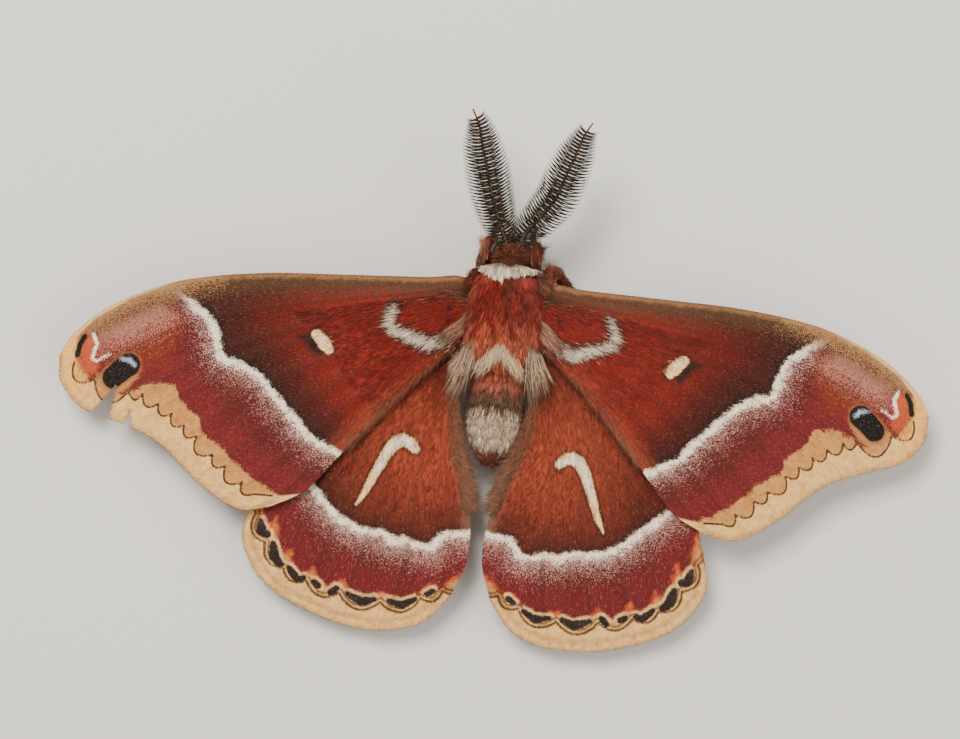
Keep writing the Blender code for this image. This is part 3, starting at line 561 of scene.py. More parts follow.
def wing_finish(kind):
    finish = Finish(kind + "_scales", 0.75, 0.18)
    finish.colour = tint(GROUNDS[kind])
    grain = finish.less(finish.noise(0.12, 1.0), 0.5)
    clump = finish.less(finish.noise(1.0, 2.0), 0.5)
    for coat in COATS[kind]:
        finish.coat(*coat, clump, grain)
    outside = finish.ramp(finish.field("lobes"), 0.0, 0.3)
    nap = finish.noise(0.13, 2.0, lie=4.0)
    shade = finish.noise(0.6, 2.0, lie=12.0)
    inside = finish.less(1.0, finish.ramp(finish.field("scallop"), -0.5, 0.1))
    streak = finish.times(finish.ramp(shade, 0.46, 0.64), inside)
    finish.darken(finish.times(streak, 0.26), (0.58, 0.48, 0.43))
    finish.darken(finish.times(finish.ramp(clump, 0.0, 0.2), 0.1), (0.7, 0.6, 0.5))
    nap_share = finish.less(0.34, finish.times(outside, 0.24))
    nap_share = finish.times(finish.ramp(nap, 0.48, 0.68), nap_share)
    finish.darken(nap_share, (0.55, 0.46, 0.42))
    finish.lighten(finish.times(finish.ramp(nap, 0.42, 0.28), 0.08), (1.0, 0.62, 0.42))
    finish.darken(finish.times(finish.ramp(grain, 0.02, 0.2), 0.3), (0.55, 0.48, 0.46))
    # Painted glints: sparse bright specks of light on the scales.
    finish.lighten(finish.times(finish.ramp(grain, -0.17, -0.26), 0.13), (1.0, 0.7, 0.52))
    for size, strength in ((0.2, 0.5), (0.9, 0.42)):
        fleck = finish.times(finish.ramp(finish.noise(size, 3.0), 0.44, 0.64), strength)
        finish.darken(finish.times(fleck, outside), (0.68, 0.5, 0.34))
    vein = finish.less(1.0, finish.ramp(finish.field("vein"), 0.04, 0.3))
    vein_share = finish.less(0.36, finish.times(outside, 0.2))
    finish.mix(finish.times(vein, vein_share), tint("costa_dark"))
    relief = finish.plus(finish.times(shade, outside), finish.noise(0.5, 2.0))
    surface = finish.plus(finish.plus(nap, grain), finish.times(relief, 2.0))
    finish.bump(surface, 0.07, 0.7)
    finish.sheen(0.03, 0.5)
    return finish.close()


def curve(points, shares, fine=24):
    """The smooth curve through some points, read at shares of its length."""
    p = np.array(points, dtype=float)
    p = np.vstack((2 * p[0] - p[1], p, 2 * p[-1] - p[-2]))
    t = np.linspace(0, 1, fine, endpoint=False)[None, :, None]
    a, b, c, d = (p[k:len(p) - 3 + k][:, None, :] for k in range(4))
    square, cube = 2 * a - 5 * b + 4 * c - d, 3 * b - a - 3 * c + d
    path = 0.5 * (2 * b + (c - a) * t + square * t ** 2 + cube * t ** 3)
    path = np.vstack((path.reshape(-1, p.shape[1]), p[-2]))
    reach = np.concatenate(([0], np.cumsum(np.linalg.norm(np.diff(path, axis=0), axis=1))))
    reach /= reach[-1]
    return np.stack([np.interp(shares, reach, path[:, k]) for k in range(path.shape[1])], axis=-1)


def from_line(points, line):
    """How far points are from a line of points, on which side, and how far along it."""
    line = np.array(line, dtype=float)
    best = np.full(len(points), 1e9)
    side = np.zeros(len(points))
    along = np.zeros(len(points))
    steps = np.diff(line, axis=0)
    lengths = np.linalg.norm(steps, axis=1)
    normals = np.stack((-steps[:, 1], steps[:, 0]), axis=-1) / lengths[:, None]
    reach = np.concatenate(([0], np.cumsum(lengths))) / lengths.sum()
    for k, stretch in enumerate(steps):
        away = points - line[k]
        t = np.clip(away @ stretch / (stretch @ stretch), 0, 1)
        away = away - t[:, None] * stretch
        gap = np.linalg.norm(away, axis=1)
        closer = gap < best - 1e-9
        before, after = normals[max(k - 1, 0)], normals[min(k + 1, len(steps) - 1)]
        normal = normals[k] + (t <= 0)[:, None] * before + (t >= 1)[:, None] * after
        best[closer] = gap[closer]
        side[closer] = np.sign(np.sum(away * normal, axis=1))[closer]
        along[closer] = (reach[k] + t * (reach[k + 1] - reach[k]))[closer]
    return best, side, along


def scallops(cusps, bulge, steps=8):
    """A line of arcs from cusp to cusp, all bulging to the right of the way they run."""
    line = []
    for a, b in zip(cusps, cusps[1:]):
        a, b = np.array(a), np.array(b)
        out = np.array((b[1] - a[1], a[0] - b[0])) * bulge
        for t in np.linspace(0, 1, steps, endpoint=False):
            line.append(a + (b - a) * t + out * math.sin(math.pi * t) ** 0.8)
    line.append(np.array(cusps[-1]))
    return line


def roof(x, y, lift):
    """Height of a wing's middle surface: a low roof that falls to the wing tips and to the rear."""
    back = np.minimum(y, 0.0)
    return ROOF_TOP + lift - ROOF_FALL_OUT * x * x - ROOF_FALL_BACK * back * back


def form_reach(form, d):
    """How far out a direction's end lies, in a body form's own radius that way."""
    _, half, square = form
    return sum(abs(d[k] / half[k]) ** square for k in range(3)) ** (1 / square)


def form_side(form, y, z):
    (_, cy, cz), (hx, hy, hz), square = form
    rest = abs((y - cy) / hy) ** square + abs((z - cz) / hz) ** square
    return hx * max(0.0, 1 - rest) ** (1 / square)


def form_ring(form, y, turn):
    """Points of a body form at places along it and turns about its long axis from straight up."""
    (cx, cy, cz), (hx, hy, hz), square = form
    share = np.maximum(0.0, 1 - np.abs((y - cy) / hy) ** square)
    reach = np.abs(np.sin(turn) / hx) ** square + np.abs(np.cos(turn) / hz) ** square
    radius = (share / reach) ** (1 / square)
    return np.stack((cx + radius * np.sin(turn), y + 0 * turn, cz + radius * np.cos(turn)), axis=-1)


def wing_places(kind, side_name, u, v):
    """Where a wing's points lie as seen from above, and the same points and edges on the plain right wing."""
    wing = WINGS[kind]
    turn, stretch = WING_POSE[kind + "_" + side_name]
    turn = math.radians(turn)
    pivot = np.array(wing["pivot"])
    spin = np.array(((math.cos(turn), -math.sin(turn)), (math.sin(turn), math.cos(turn)))) * stretch

    def placed(points):
        return pivot + (np.array(points) - pivot) @ spin.T

    def root_point(y):
        reach = form_side(THORAX, y, float(roof(4.3, y, wing["lift"])))
        return np.array((max(reach, 1.6) - 0.9, y))

    shares_u = np.linspace(0, 1, 400)
    root_front, root_rear = root_point(wing["root"][0]), root_point(wing["root"][1])
    corner, heel = placed([wing["corner"]]), placed([wing["heel"]])
    front = curve(np.vstack((root_front, placed(wing["front"]), corner)), shares_u)
    inner = curve(np.vstack((root_rear, placed(wing["inner"]), heel)), shares_u)
    rim = curve(np.vstack((corner, placed(wing["margin"]), heel)), shares_u)
    root = np.array([root_point(y) for y in np.linspace(wing["root"][0], wing["root"][1], 400)])

    def read(line, shares):
        return np.stack([np.interp(shares, shares_u, line[:, k]) for k in (0, 1)], axis=-1)

    uu, vv = u[:, None], v[:, None]
    flat = (read(front, u) * (1 - vv) + read(inner, u) * vv + read(root, v) * (1 - uu) + read(rim, v) * uu
            - (root_front * (1 - vv) + root_rear * vv) * (1 - uu) - (corner * (1 - vv) + heel * vv) * uu)
    back = np.linalg.inv(spin).T
    edges = {"front": front, "inner": inner, "rim": rim}
    lines = {name: pivot + (line[::4] - pivot) @ back for name, line in edges.items()}
    return flat, pivot + (flat - pivot) @ back, lines


def cut_tear(bm, corners):
    """Takes a triangle out of a flat sheet and lays the cut's edge on the triangle's sides."""
    corners = [Vector(c) for c in corners]
    turn = (corners[1] - corners[0]).cross(corners[2] - corners[0])
    if turn < 0:
        corners.reverse()
    sides = list(zip(corners, corners[1:] + corners[:1]))

    def inside(p):
        return all((b - a).cross(p - a) > 0 for a, b in sides)

    lost = [v for v in bm.verts if inside(v.co.xy)]
    near = {n for v in lost for e in v.link_edges for n in (e.other_vert(v),)} - set(lost)
    for v in near:
        best = None
        for a, b in sides:
            t = min(max((v.co.xy - a).dot(b - a) / (b - a).length_squared, 0), 1)
            spot = a + (b - a) * t
            if best is None or (spot - v.co.xy).length < (best - v.co.xy).length:
                best = spot
        v.co.x, v.co.y = best
    bmesh.ops.delete(bm, geom=lost, context="VERTS")


def applied(piece):
    seen = piece.evaluated_get(bpy.context.evaluated_depsgraph_get())
    mesh = bpy.data.meshes.new_from_object(seen)
    bpy.data.objects.remove(piece)
    return mesh


def wing_height(kind, u, v, flat):
    """The height of a wing sheet, pleated along its veins, and how far its points are from a vein."""
    wing = WINGS[kind]
    chord = np.interp(u, (0, 1), (4.0, 40.0 if kind == "forewing" else 34.0))
    veins = np.full(len(u), 9.0)
    for place, start in wing["veins"]:
        veins = np.minimum(veins, np.abs(v - place) * chord + np.maximum(0, start - u) * 40)
    at, first, last = wing["cross_vein"]
    cross = np.abs(u - at) * 35 + 40 * (np.maximum(0, first - v) + np.maximum(0, v - last))
    veins = np.minimum(veins, cross)
    pleat = 0.1 * np.clip(u * 3, 0, 1) * np.cos(np.clip(veins, 0, 1.6) * math.pi / 1.6)
    return roof(flat[:, 0], flat[:, 1], wing["lift"]) + pleat, veins


def wing_fields(kind, marks, lines):
    """How far places on a wing are from its root and from each line and blob of its pattern."""
    pattern = MARKS[kind]
    fields = {"length": np.linalg.norm(marks - np.array(WINGS[kind]["pivot"]), axis=1)}
    for edge in ("rim", "front", "inner"):
        fields[edge] = from_line(marks, lines[edge])[0]
    for mark, way in (("band", 1 if kind == "forewing" else -1), ("lobes", -1)):
        line = pattern[mark]
        if mark == "band":
            line = curve(line, np.linspace(0, 1, 70))
        gap, across, along = from_line(marks, line)
        fields[mark] = way * gap * across
    arcs = scallops(pattern["cusps"], pattern["bulge"])
    gap, across, along = from_line(marks, np.vstack((pattern["lead"], arcs[1:], pattern["trail"])))
    fields["scallop"] = -gap * across
    fields["thread"] = from_line(marks, np.vstack((pattern["lead"][1:], arcs[1:])))[0]
    fields["second"] = np.abs(fields["scallop"] + 0.52)
    for blob, (line, widths) in pattern["blobs"].items():
        gap, across, along = from_line(marks, line)
        fields[blob] = gap - np.interp(along, np.linspace(0, 1, len(widths)), widths)
    moons = [values for name, values in fields.items() if name.startswith("moon")]
    if moons:
        fields = {name: values for name, values in fields.items() if not name.startswith("moon")}
        fields["moons"] = np.min(moons, axis=0)
    return fields


def wing_tint(kind, fields):
    """The colour of a wing's hair at its root, from the same coats as the sheet below it."""
    count = len(fields["length"])
    colours = evenly(GROUNDS[kind], count)
    for name, field, start, end, soft, ragged, grained, strength in COATS[kind]:
        stray = rng.normal(0, 0.09, count)
        share = np.full(count, strength)
        if start is not None:
            value = fields[field] + stray * (ragged + min(grained, 1.5))
            share = share * step(value, start - soft / 2, start + soft / 2)
        if end is not None:
            value = fields[field] + stray * (ragged + grained)
            share = share * (1 - step(value, end - soft / 2, end + soft / 2))
        colours = blend(colours, share, name)
    return colours


def add_wing(kind, side_name, side, material):
    """A wing sheet with pleats between its veins, its pattern kept as distances from each mark."""
    name = kind + "_" + side_name
    cells_long, cells_wide = WINGS[kind]["cells"]
    bm = bmesh.new()
    bmesh.ops.create_grid(bm, x_segments=cells_long, y_segments=cells_wide, size=0.5)
    u = np.array([v.co.x + 0.5 for v in bm.verts])
    v_share = np.array([v.co.y + 0.5 for v in bm.verts])
    u = 1 - (1 - u) ** 1.1
    flat, marks, lines = wing_places(kind, side_name, u, v_share)

    height, veins = wing_height(kind, u, v_share, flat)
    for k, v in enumerate(bm.verts):
        v.co = (side * flat[k, 0], flat[k, 1], height[k])
    if side < 0:
        bmesh.ops.reverse_faces(bm, faces=bm.faces[:])

    fields = {"vein": veins}
    fields.update(wing_fields(kind, marks, lines))
    layers = {key: bm.verts.layers.float.new(key) for key in fields}
    lie = bm.loops.layers.uv.new("lie")
    group = bm.verts.layers.deform.verify()
    thickness = MEMBRANE_SHARE + (1 - MEMBRANE_SHARE) * np.exp(-(veins / 0.22) ** 2)
    for k, v in enumerate(bm.verts):
        v.index = k
        v[group][0] = float(thickness[k])
        for key, layer in layers.items():
            v[layer] = float(fields[key][k])
    reach = 0.053 if kind == "forewing" else 0.036
    for face in bm.faces:
        for loop in face.loops:
            k = loop.vert.index
            loop[lie].uv = (u[k] * reach, v_share[k] * 0.6 * reach)
    if name == "forewing_left":
        for tear in TEARS:
            cut_tear(bm, tear)
    piece = linked(name + "_sheet", mesh_from(bm, name))
    piece.vertex_groups.new(name="thickness")
    wall = piece.modifiers.new("wall", "SOLIDIFY")
    wall.thickness = SHEET_THICKNESS
    wall.offset = 0
    wall.vertex_group = "thickness"
    return finished(name + "_sheet", applied(piece), material, "wing_scales", name)


def abdomen_at(y):
    """Height, half width and half depth of the abdomen at places along the body."""
    rows = np.array(ABDOMEN_RINGS)[::-1]
    return [np.interp(y, rows[:, 0], rows[:, k]) for k in (1, 2, 3)]


def abdomen_ring(y, turn, lift):
    z, wide, deep = abdomen_at(y)
    return np.stack(((wide + lift) * np.sin(turn), y + 0 * turn, z + (deep + lift) * np.cos(turn)), axis=-1)


def strands(paths, widths, depths, ups, sides):
    """Closed tapering strands along many paths at once, each ending in a point. Gives points and faces."""
    count, rings, _ = paths.shape
    along = unit(np.diff(paths, axis=1, append=2 * paths[:, -1:] - paths[:, -2:-1]))
    deep = unit(ups[:, None, :] - along * np.sum(ups[:, None, :] * along, axis=-1, keepdims=True))
    across = np.cross(deep, along)
    turns = np.arange(sides) * 2 * math.pi / sides
    ring = (paths[:, :-1, None, :]
            + across[:, :-1, None, :] * (np.cos(turns)[None, None, :, None] * widths[:, :, None, None] / 2)
            + deep[:, :-1, None, :] * (np.sin(turns)[None, None, :, None] * depths[:, :, None, None] / 2))
    points = np.concatenate((ring.reshape(count, -1, 3), paths[:, -1:]), axis=1)
    faces = []
    for r in range(rings - 2):
        for k in range(sides):
            a, b = r * sides + k, r * sides + (k + 1) % sides
            faces += [(a, b, b + sides), (a, b + sides, a + sides)]
    top = (rings - 2) * sides
    tip = (rings - 1) * sides
    faces += [(top + k, top + (k + 1) % sides, tip) for k in range(sides)]
    faces += [(0, k + 1, k) for k in range(1, sides - 1)]
    each = points.shape[1]
    faces = (np.array(faces)[None] + (np.arange(count) * each)[:, None, None]).reshape(-1, 3)
    return points.reshape(-1, 3), faces, each


def joined_mesh(name, points, faces):
    """One mesh of many strands, given as points and triangles."""
    mesh = bpy.data.meshes.new(name)
    mesh.vertices.add(len(points))
    mesh.vertices.foreach_set("co", points.astype(np.float32).ravel())
    mesh.loops.add(faces.size)
    mesh.loops.foreach_set("vertex_index", faces.astype(np.int32).ravel())
    mesh.polygons.add(len(faces))
    mesh.polygons.foreach_set("loop_start", np.arange(0, faces.size, 3, dtype=np.int32))
    mesh.polygons.foreach_set("loop_total", np.full(len(faces), 3, dtype=np.int32))
    mesh.update(calc_edges=True)
    mesh.validate()
    return mesh


def add_coat(name, paths, girth, ups, colours, places, material, slot, root_painted_shade=0.55):
    """A coat of thin flat tufts: each tuft's colour comes from its root, and so does its place on the map.
    Each tuft is painted darker towards its root, as painted shade deep in the coat.
    """
    count, rings, _ = paths.shape
    taper = np.array({3: (0.75, 1.0), 4: (0.7, 1.0, 0.7)}[rings])
    wide = rng.uniform(*girth, count)[:, None] * taper[None]
    points, faces, each = strands(paths, wide, wide * 0.4, ups, 3)
    mesh = joined_mesh(name, points, faces)
    share = np.repeat(np.linspace(0, 1, rings), 3)[:each]
    own = rng.uniform(0.75, 1.2, count) * np.where(rng.uniform(0, 1, count) < 0.16, 0.6, 1.0)
    # Painted shade: each hair is darker at its root, deep in the coat, and lighter towards its tip.
    shade = (root_painted_shade + (1.15 - root_painted_shade) * share)[None, :, None] * own[:, None, None]
    set_tint(mesh, np.minimum(colours[:, None, :] * shade, 1).reshape(-1, 3))
    corner = np.tile(np.array((0.0, 0.5, 1.0)), rings)[:each]
    patch = np.stack((corner, share), axis=-1) * BAKE_PATCH
    spots = (places[:, None, :] + patch[None]).reshape(-1, 2)
    uv = mesh.uv_layers.new(name="OFBake")
    uv.data.foreach_set("uv", spots[faces.ravel()].astype(np.float32).ravel())
    return finished(name, mesh, material, slot)


def in_locks(paths, size, pull, uneven=0.12):
    """Draws the tips of neighbouring hairs together. Gives the paths and each hair's own lightness."""
    count, rings, _ = paths.shape
    heads = rng.choice(count, count // size, replace=False)
    tree = KDTree(len(heads))
    for k, head in enumerate(heads):
        tree.insert(paths[head, 0], k)
    tree.balance()
    own = np.array([tree.find(p)[1] for p in paths[:, 0]])
    share = (np.linspace(0, 1, rings) ** 1.3 * pull)[None, :, None]
    share = share * rng.uniform(0.7, 1.1, count)[:, None, None]
    stretched = rng.normal(0, uneven, len(heads))[own]
    drawn = paths + (paths[heads][own] - paths) * share
    late = (np.linspace(0, 1, rings)[1:] ** 2)[None, :, None]
    drawn[:, 1:] += (drawn[:, -1:] - drawn[:, :1]) * late * stretched[:, None, None]
    return drawn, rng.uniform(0.78, 1.16, len(heads))[own][:, None]


def unwrapped(y, turn, front, rear):
    """A root's place on the unrolled body."""
    turn = (turn + math.pi) % (2 * math.pi) / (2 * math.pi)
    wide = 1 - 3 * MAP_RIM
    return np.stack((MAP_RIM + wide * turn, MAP_RIM + wide * (front - y) / (front - rear)), axis=-1)


def step(value, start, end):
    """A smooth rise from 0 at start to 1 at end."""
    t = np.clip((value - start) / (end - start), 0, 1)
    return t * t * (3 - 2 * t)


def blend(colours, share, name):
    return colours + (np.array(tint(name)) - colours) * share[:, None]


def body_tint(points):
    """The colour of skin and coat at places on the body, from the same bands and patches."""
    x, y, z = points[:, 0], points[:, 1], points[:, 2]
    wobble = 0.3 * np.sin(x * 3.1 + y * 1.3) + 0.25 * np.sin(x * 7.7 - y * 2.3)
    wobble += rng.normal(0, 0.22, len(points))
    colours = evenly("thorax", len(points))
    dusk = np.sin(x * 1.9 + 0.8 * np.sin(y * 0.9)) * np.sin(y * 1.1 + x * 0.6)
    colours = blend(colours, 0.35 * step(dusk, 0.1, 0.9), "thorax_rear")
    colours = blend(colours, 0.4 * step(-dusk, 0.2, 0.9), "brick")
    crown = np.exp(-((x - 0.2) / 0.8) ** 2) * step(y, -1.5, 1.0) * (1 - step(y, 3.4, 4.4))
    colours = blend(colours, 0.75 * crown, "head")
    colours = blend(colours, step(-y + 2 * wobble, 1.6, 5.2), "thorax_rear")
    colours = blend(colours, step(-y + wobble, 8.2, 8.8), "abdomen")
    colours = blend(colours, step(-y + wobble, 9.7, 11.2), "abdomen_dark")
    ripple = 0.88 + 0.36 * np.cos((y + 0.12 * wobble + 13.6) * 2 * math.pi / ABDOMEN_ROW)
    colours = blend(colours, step(-y + wobble, 12.7, 13.3) * np.minimum(ripple, 1), "abdomen_white")
    colours = blend(colours, step(-y + wobble, 17.6, 18.3), "abdomen_tip")
    colours = blend(colours, (1 - step(z, 5.2, 7.2)) * 0.7, "leg")
    colours = blend(colours, step(y, 4.3, 4.9), "head")
    return colours


def hair_finish(name, roughness=0.62):
    finish = Finish(name, roughness, 0.2)
    finish.colour = finish.add("ShaderNodeAttribute", attribute_name="tint").outputs["Color"]
    finish.darken(finish.times(finish.ramp(finish.noise(0.3, 2.0), 0.42, 0.62), 0.2), (0.7, 0.62, 0.55))
    finish.sheen(0.14, 0.4)
    finish.shader.inputs["Sheen Tint"].default_value = (1.0, 0.8, 0.7, 1)
    return finish.close()


def rounded_bar(path, girths, sides=16):
    """A closed bar of rings along a path."""
    bm = bmesh.new()
    bmesh.ops.create_cone(bm, cap_ends=True, segments=sides, radius1=0.5, radius2=0.5, depth=1)
    lengthwise = [e for e in bm.edges if abs(e.verts[0].co.z - e.verts[1].co.z) > 0.5]
    bmesh.ops.subdivide_edges(bm, edges=lengthwise, cuts=len(path) - 2)
    last = len(path) - 1
    frames = []
    for k in range(len(path)):
        along = (path[min(k + 1, last)] - path[max(k - 1, 0)]).normalized()
        up = Vector((0, 0, 1)) if abs(along.z) < 0.8 else Vector((0, 1, 0))
        deep = (up - along * up.dot(along)).normalized()
        frames.append((deep.cross(along), deep))
    for v in bm.verts:
        k = round((v.co.z + 0.5) * last)
        across, deep = frames[k]
        wide, thick = girths[k] if isinstance(girths[k], tuple) else (girths[k], girths[k])
        v.co = path[k] + across * (v.co.x * wide) + deep * (v.co.y * thick)
    return bm


def rounded_form(form):
    bm = bmesh.new()
    bmesh.ops.create_uvsphere(bm, u_segments=48, v_segments=32, radius=1)
    for v in bm.verts:
        d = v.co.normalized()
        v.co = Vector(form[0]) + d / form_reach(form, d)
    return bm


def leg_path(name):
    """Hip, knee, ankle and the foot's points, the last three on the floor."""
    d, knee, ankle, toe = (Vector(p) for p in LEGS[name])
    d.normalize()
    hip = Vector(THORAX[0]) + d * (0.82 / form_reach(THORAX, d))
    heel = ankle.lerp(toe, 0.3)
    heel.z = toe.z
    return hip, knee, ankle, heel, toe


def add_skin(material):
    """One skin over thorax, abdomen, head, palps and legs, melted together from rounded forms."""
    forms = [rounded_form(THORAX_SKIN), rounded_form(HEAD_SKIN)]
    path = [Vector((0, y, z)) for y, z, w, d in ABDOMEN_RINGS]
    girths = [(2 * w, 2 * d) for y, z, w, d in ABDOMEN_RINGS]
    forms.append(rounded_bar(path, girths, 32))
    neck = [Vector(row[:3]) for row in NECK]
    forms.append(rounded_bar(neck, [row[3] * NECK_RADIUS for row in NECK], 24))
    for _, side in SIDES:
        root = Vector((HEAD[0][0] + 0.55 * side, 8.0, 7.2))
        palp = [root, root + Vector((0.1 * side, 0.7, -0.3)), root + Vector((0.1 * side, 1.3, -0.9))]
        forms.append(rounded_bar(palp, [0.7, 0.75, 0.4]))
    for name in LEGS:
        hip, knee, ankle, heel, toe = leg_path(name)
        thigh = [hip, hip.lerp(knee, 0.3), hip.lerp(knee, 0.7), knee.lerp(hip, 0.04), knee]
        shin = [knee, knee.lerp(ankle, 0.08), knee.lerp(ankle, 0.5), ankle]
        foot = [ankle + Vector((0, 0, 0.2)), heel + Vector((0, 0, 0.12))]
        foot += [heel.lerp(toe, k / 4) + Vector((0, 0, 0.05)) for k in (1, 2, 3, 4)]
        for path, girth, shares in ((thigh, FEMUR, (1, 1, 1, 0.8, 0.4)), (shin, TIBIA, (0.5, 1, 1, 0.7)),
                                    (foot, TARSUS, (1, 0.95, 0.9, 0.85, 0.8, 0.5))):
            forms.append(rounded_bar(path, [share * girth for share in shares]))
    bm = bmesh.new()
    for form in forms:
        mesh = mesh_from(form, "form")
        bm.from_mesh(mesh)
        bpy.data.meshes.remove(mesh)
    piece = linked("skin", mesh_from(bm, "skin"))
    melt = piece.modifiers.new("melt", "REMESH")
    melt.mode = "VOXEL"
    melt.voxel_size = SKIN_VOXEL
    relax = piece.modifiers.new("relax", "SMOOTH")
    relax.iterations = 6
    relax.factor = 0.5
    mesh = applied(piece)
    points = points_of(mesh, np.float64)
    points[:, 2] = np.maximum(points[:, 2], 0.0)
    mesh.vertices.foreach_set("co", points.ravel())
    colours = body_tint(points)
    low_down = (1 - step(points[:, 2], 5.5, 7.0)) * (np.abs(points[:, 0]) + np.maximum(points[:, 1], 0) > 2.5)
    colours = blend(colours, low_down, "leg")
    set_tint(mesh, colours * 0.7)
    nodes = ["thorax", "abdomen", "head", "collar", "palp_left", "palp_right"] + list(LEGS)
    return finished("skin", mesh, material, "thorax_hair", *nodes)


def thorax_coat(count, under):
    """Long hair that flows back over the thorax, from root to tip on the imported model's coat form."""
    y = rng.uniform(-7.4, 4.3, count)
    spread = 2.0 if not under else 1.2
    turn = rng.uniform(-spread, spread, count) + (math.pi if under else 0.0)
    long = rng.uniform(1.7, 3.6, count) * (0.75 if under else 1.0)
    long = long * np.interp(y, (-7.4, -4.5, 2.5, 4.3), (0.5, 1, 1, 0.7))
    parting = turn * 9 + 1.6 * np.sin(y * 0.8)
    sway = rng.normal(0, 0.05, count) + 0.07 * np.sin(parting)
    fill = rng.uniform(0.45, 1.0, count) * (0.88 + 0.12 * np.cos(parting))
    points = []
    for t, risen in THORAX_RISE:
        reach = y - t * long
        body = form_ring(THORAX_SKIN, np.maximum(reach, -7.8), turn + sway * t)
        coat = form_ring(THORAX_COAT, np.maximum(reach, COAT_REAR - 1.0), turn * (1 + 0.06 * t) + sway * t)
        point = body + (coat - body) * (risen * fill)[:, None]
        point[:, 1] = reach
        points.append(point)
    paths = np.stack(points, axis=1)
    ups = paths[:, 1] - np.array((0.0, 0.0, THORAX[0][2]))
    ups[:, 1] = 0
    return paths, unit(ups), y, turn


def tuft(count, roots, tips, rise, stray, colours):
    """Loose hair from along one line of roots to along a line of tips, of uneven length."""
    share = rng.uniform(0, 1, count)
    a = curve(roots, share) + rng.normal(0, 1, (count, 3)) * np.array(stray) * 0.5
    b = curve(tips, np.clip(share + rng.normal(0, 0.12, count), 0, 1))
    b = b + rng.normal(0, 1, (count, 3)) * np.array(stray)
    b = a + (b - a) * rng.uniform(0.55, 1.12, count)[:, None]
    bend = rng.normal(0, 0.14, count)[:, None] * np.array((1.0, 0.0, 0.0))
    lift = np.array((0.0, 0.0, rise)) * rng.uniform(0.6, 1.3, count)[:, None]
    near, far = a * 0.68 + b * 0.32 + lift * 0.8 + bend, a * 0.32 + b * 0.68 + lift + bend
    paths = np.stack((a, near, far, b), axis=1)
    names = np.array([tint(c) for c in colours])
    return paths, names[rng.integers(0, len(names), count)]


def add_thorax_coats(material):
    """The thorax's long hair above, and shorter hair below."""
    for name, under in (("thorax_coat", False), ("thorax_coat_under", True)):
        paths, ups, y, turn = thorax_coat(COAT_HAIRS[name], under)
        places = unwrapped(y, turn, *THORAX_MAP)
        colours = body_tint(paths[:, 2])
        paths, lightness = in_locks(paths, 16, 0.65)
        add_coat(name, paths, LONG_HAIR, ups, colours * lightness, places, material, "thorax_hair")


def add_tufts(material):
    """Loose tufts at the wing roots, shoulders and head, and the pale V behind the thorax."""
    groups = []
    for row in TUFTS:
        for _, side in SIDES:
            paths, shades = tuft(*row)
            paths[:, :, 0] *= side
            groups.append((paths, shades))
    paths, colours = gathered(groups)
    x, y, z = paths[:, 0].T
    ups = np.stack((0.05 * x, 0 * x, 1 + 0 * x), axis=-1)
    places = unwrapped(y, np.arctan2(x, z - THORAX[0][2]), *THORAX_MAP)
    paths, lightness = in_locks(paths, 24, 0.5, 0.2)
    add_coat("tufts", paths, FINE_HAIR, ups, colours * lightness, places, material, "thorax_hair", 0.5)


def add_abdomen_coat(material):
    """Short hair in rows around the abdomen, which points to its tip."""
    count = COAT_HAIRS["abdomen_coat"]
    y = rng.uniform(-19.6, -7.6, count)
    y = y + 0.3 * np.sin((y + 13.2) * 2 * math.pi / ABDOMEN_ROW)
    turn = rng.uniform(-math.pi, math.pi, count)
    girth = abdomen_at(y)[1] / 3.0
    long = rng.uniform(1.3, 2.7, count) * (0.6 + 0.4 * girth) * np.where(y < -12.6, 0.72, 1.0)
    fill = rng.uniform(0.35, 1.05, count)
    sway = rng.normal(0, 0.06, count)
    limit = -20.1 - 0.62 * rng.uniform(0, 1, count)
    points = []
    for t, risen in ABDOMEN_RISE:
        reach = y - t * long
        rise = (0.25 + 0.6 * np.minimum(girth, 1)) * risen * fill
        point = abdomen_ring(np.maximum(reach, -19.8), turn + sway * t, rise)
        point[:, 1] = np.maximum(reach, limit)
        points.append(point)
    paths = np.stack(points, axis=1)
    ups = paths[:, 1] - np.stack((0 * y, y, abdomen_at(y)[0]), axis=-1)
    ups[:, 1] = 0
    places = unwrapped(y, turn, *ABDOMEN_MAP)
    colours = body_tint(paths[:, 1])
    paths, lightness = in_locks(paths, 14, 0.6)
    add_coat("abdomen_coat", paths, (0.07, 0.13), unit(ups), colours * lightness, places, material,
             "abdomen_hair", 0.82)


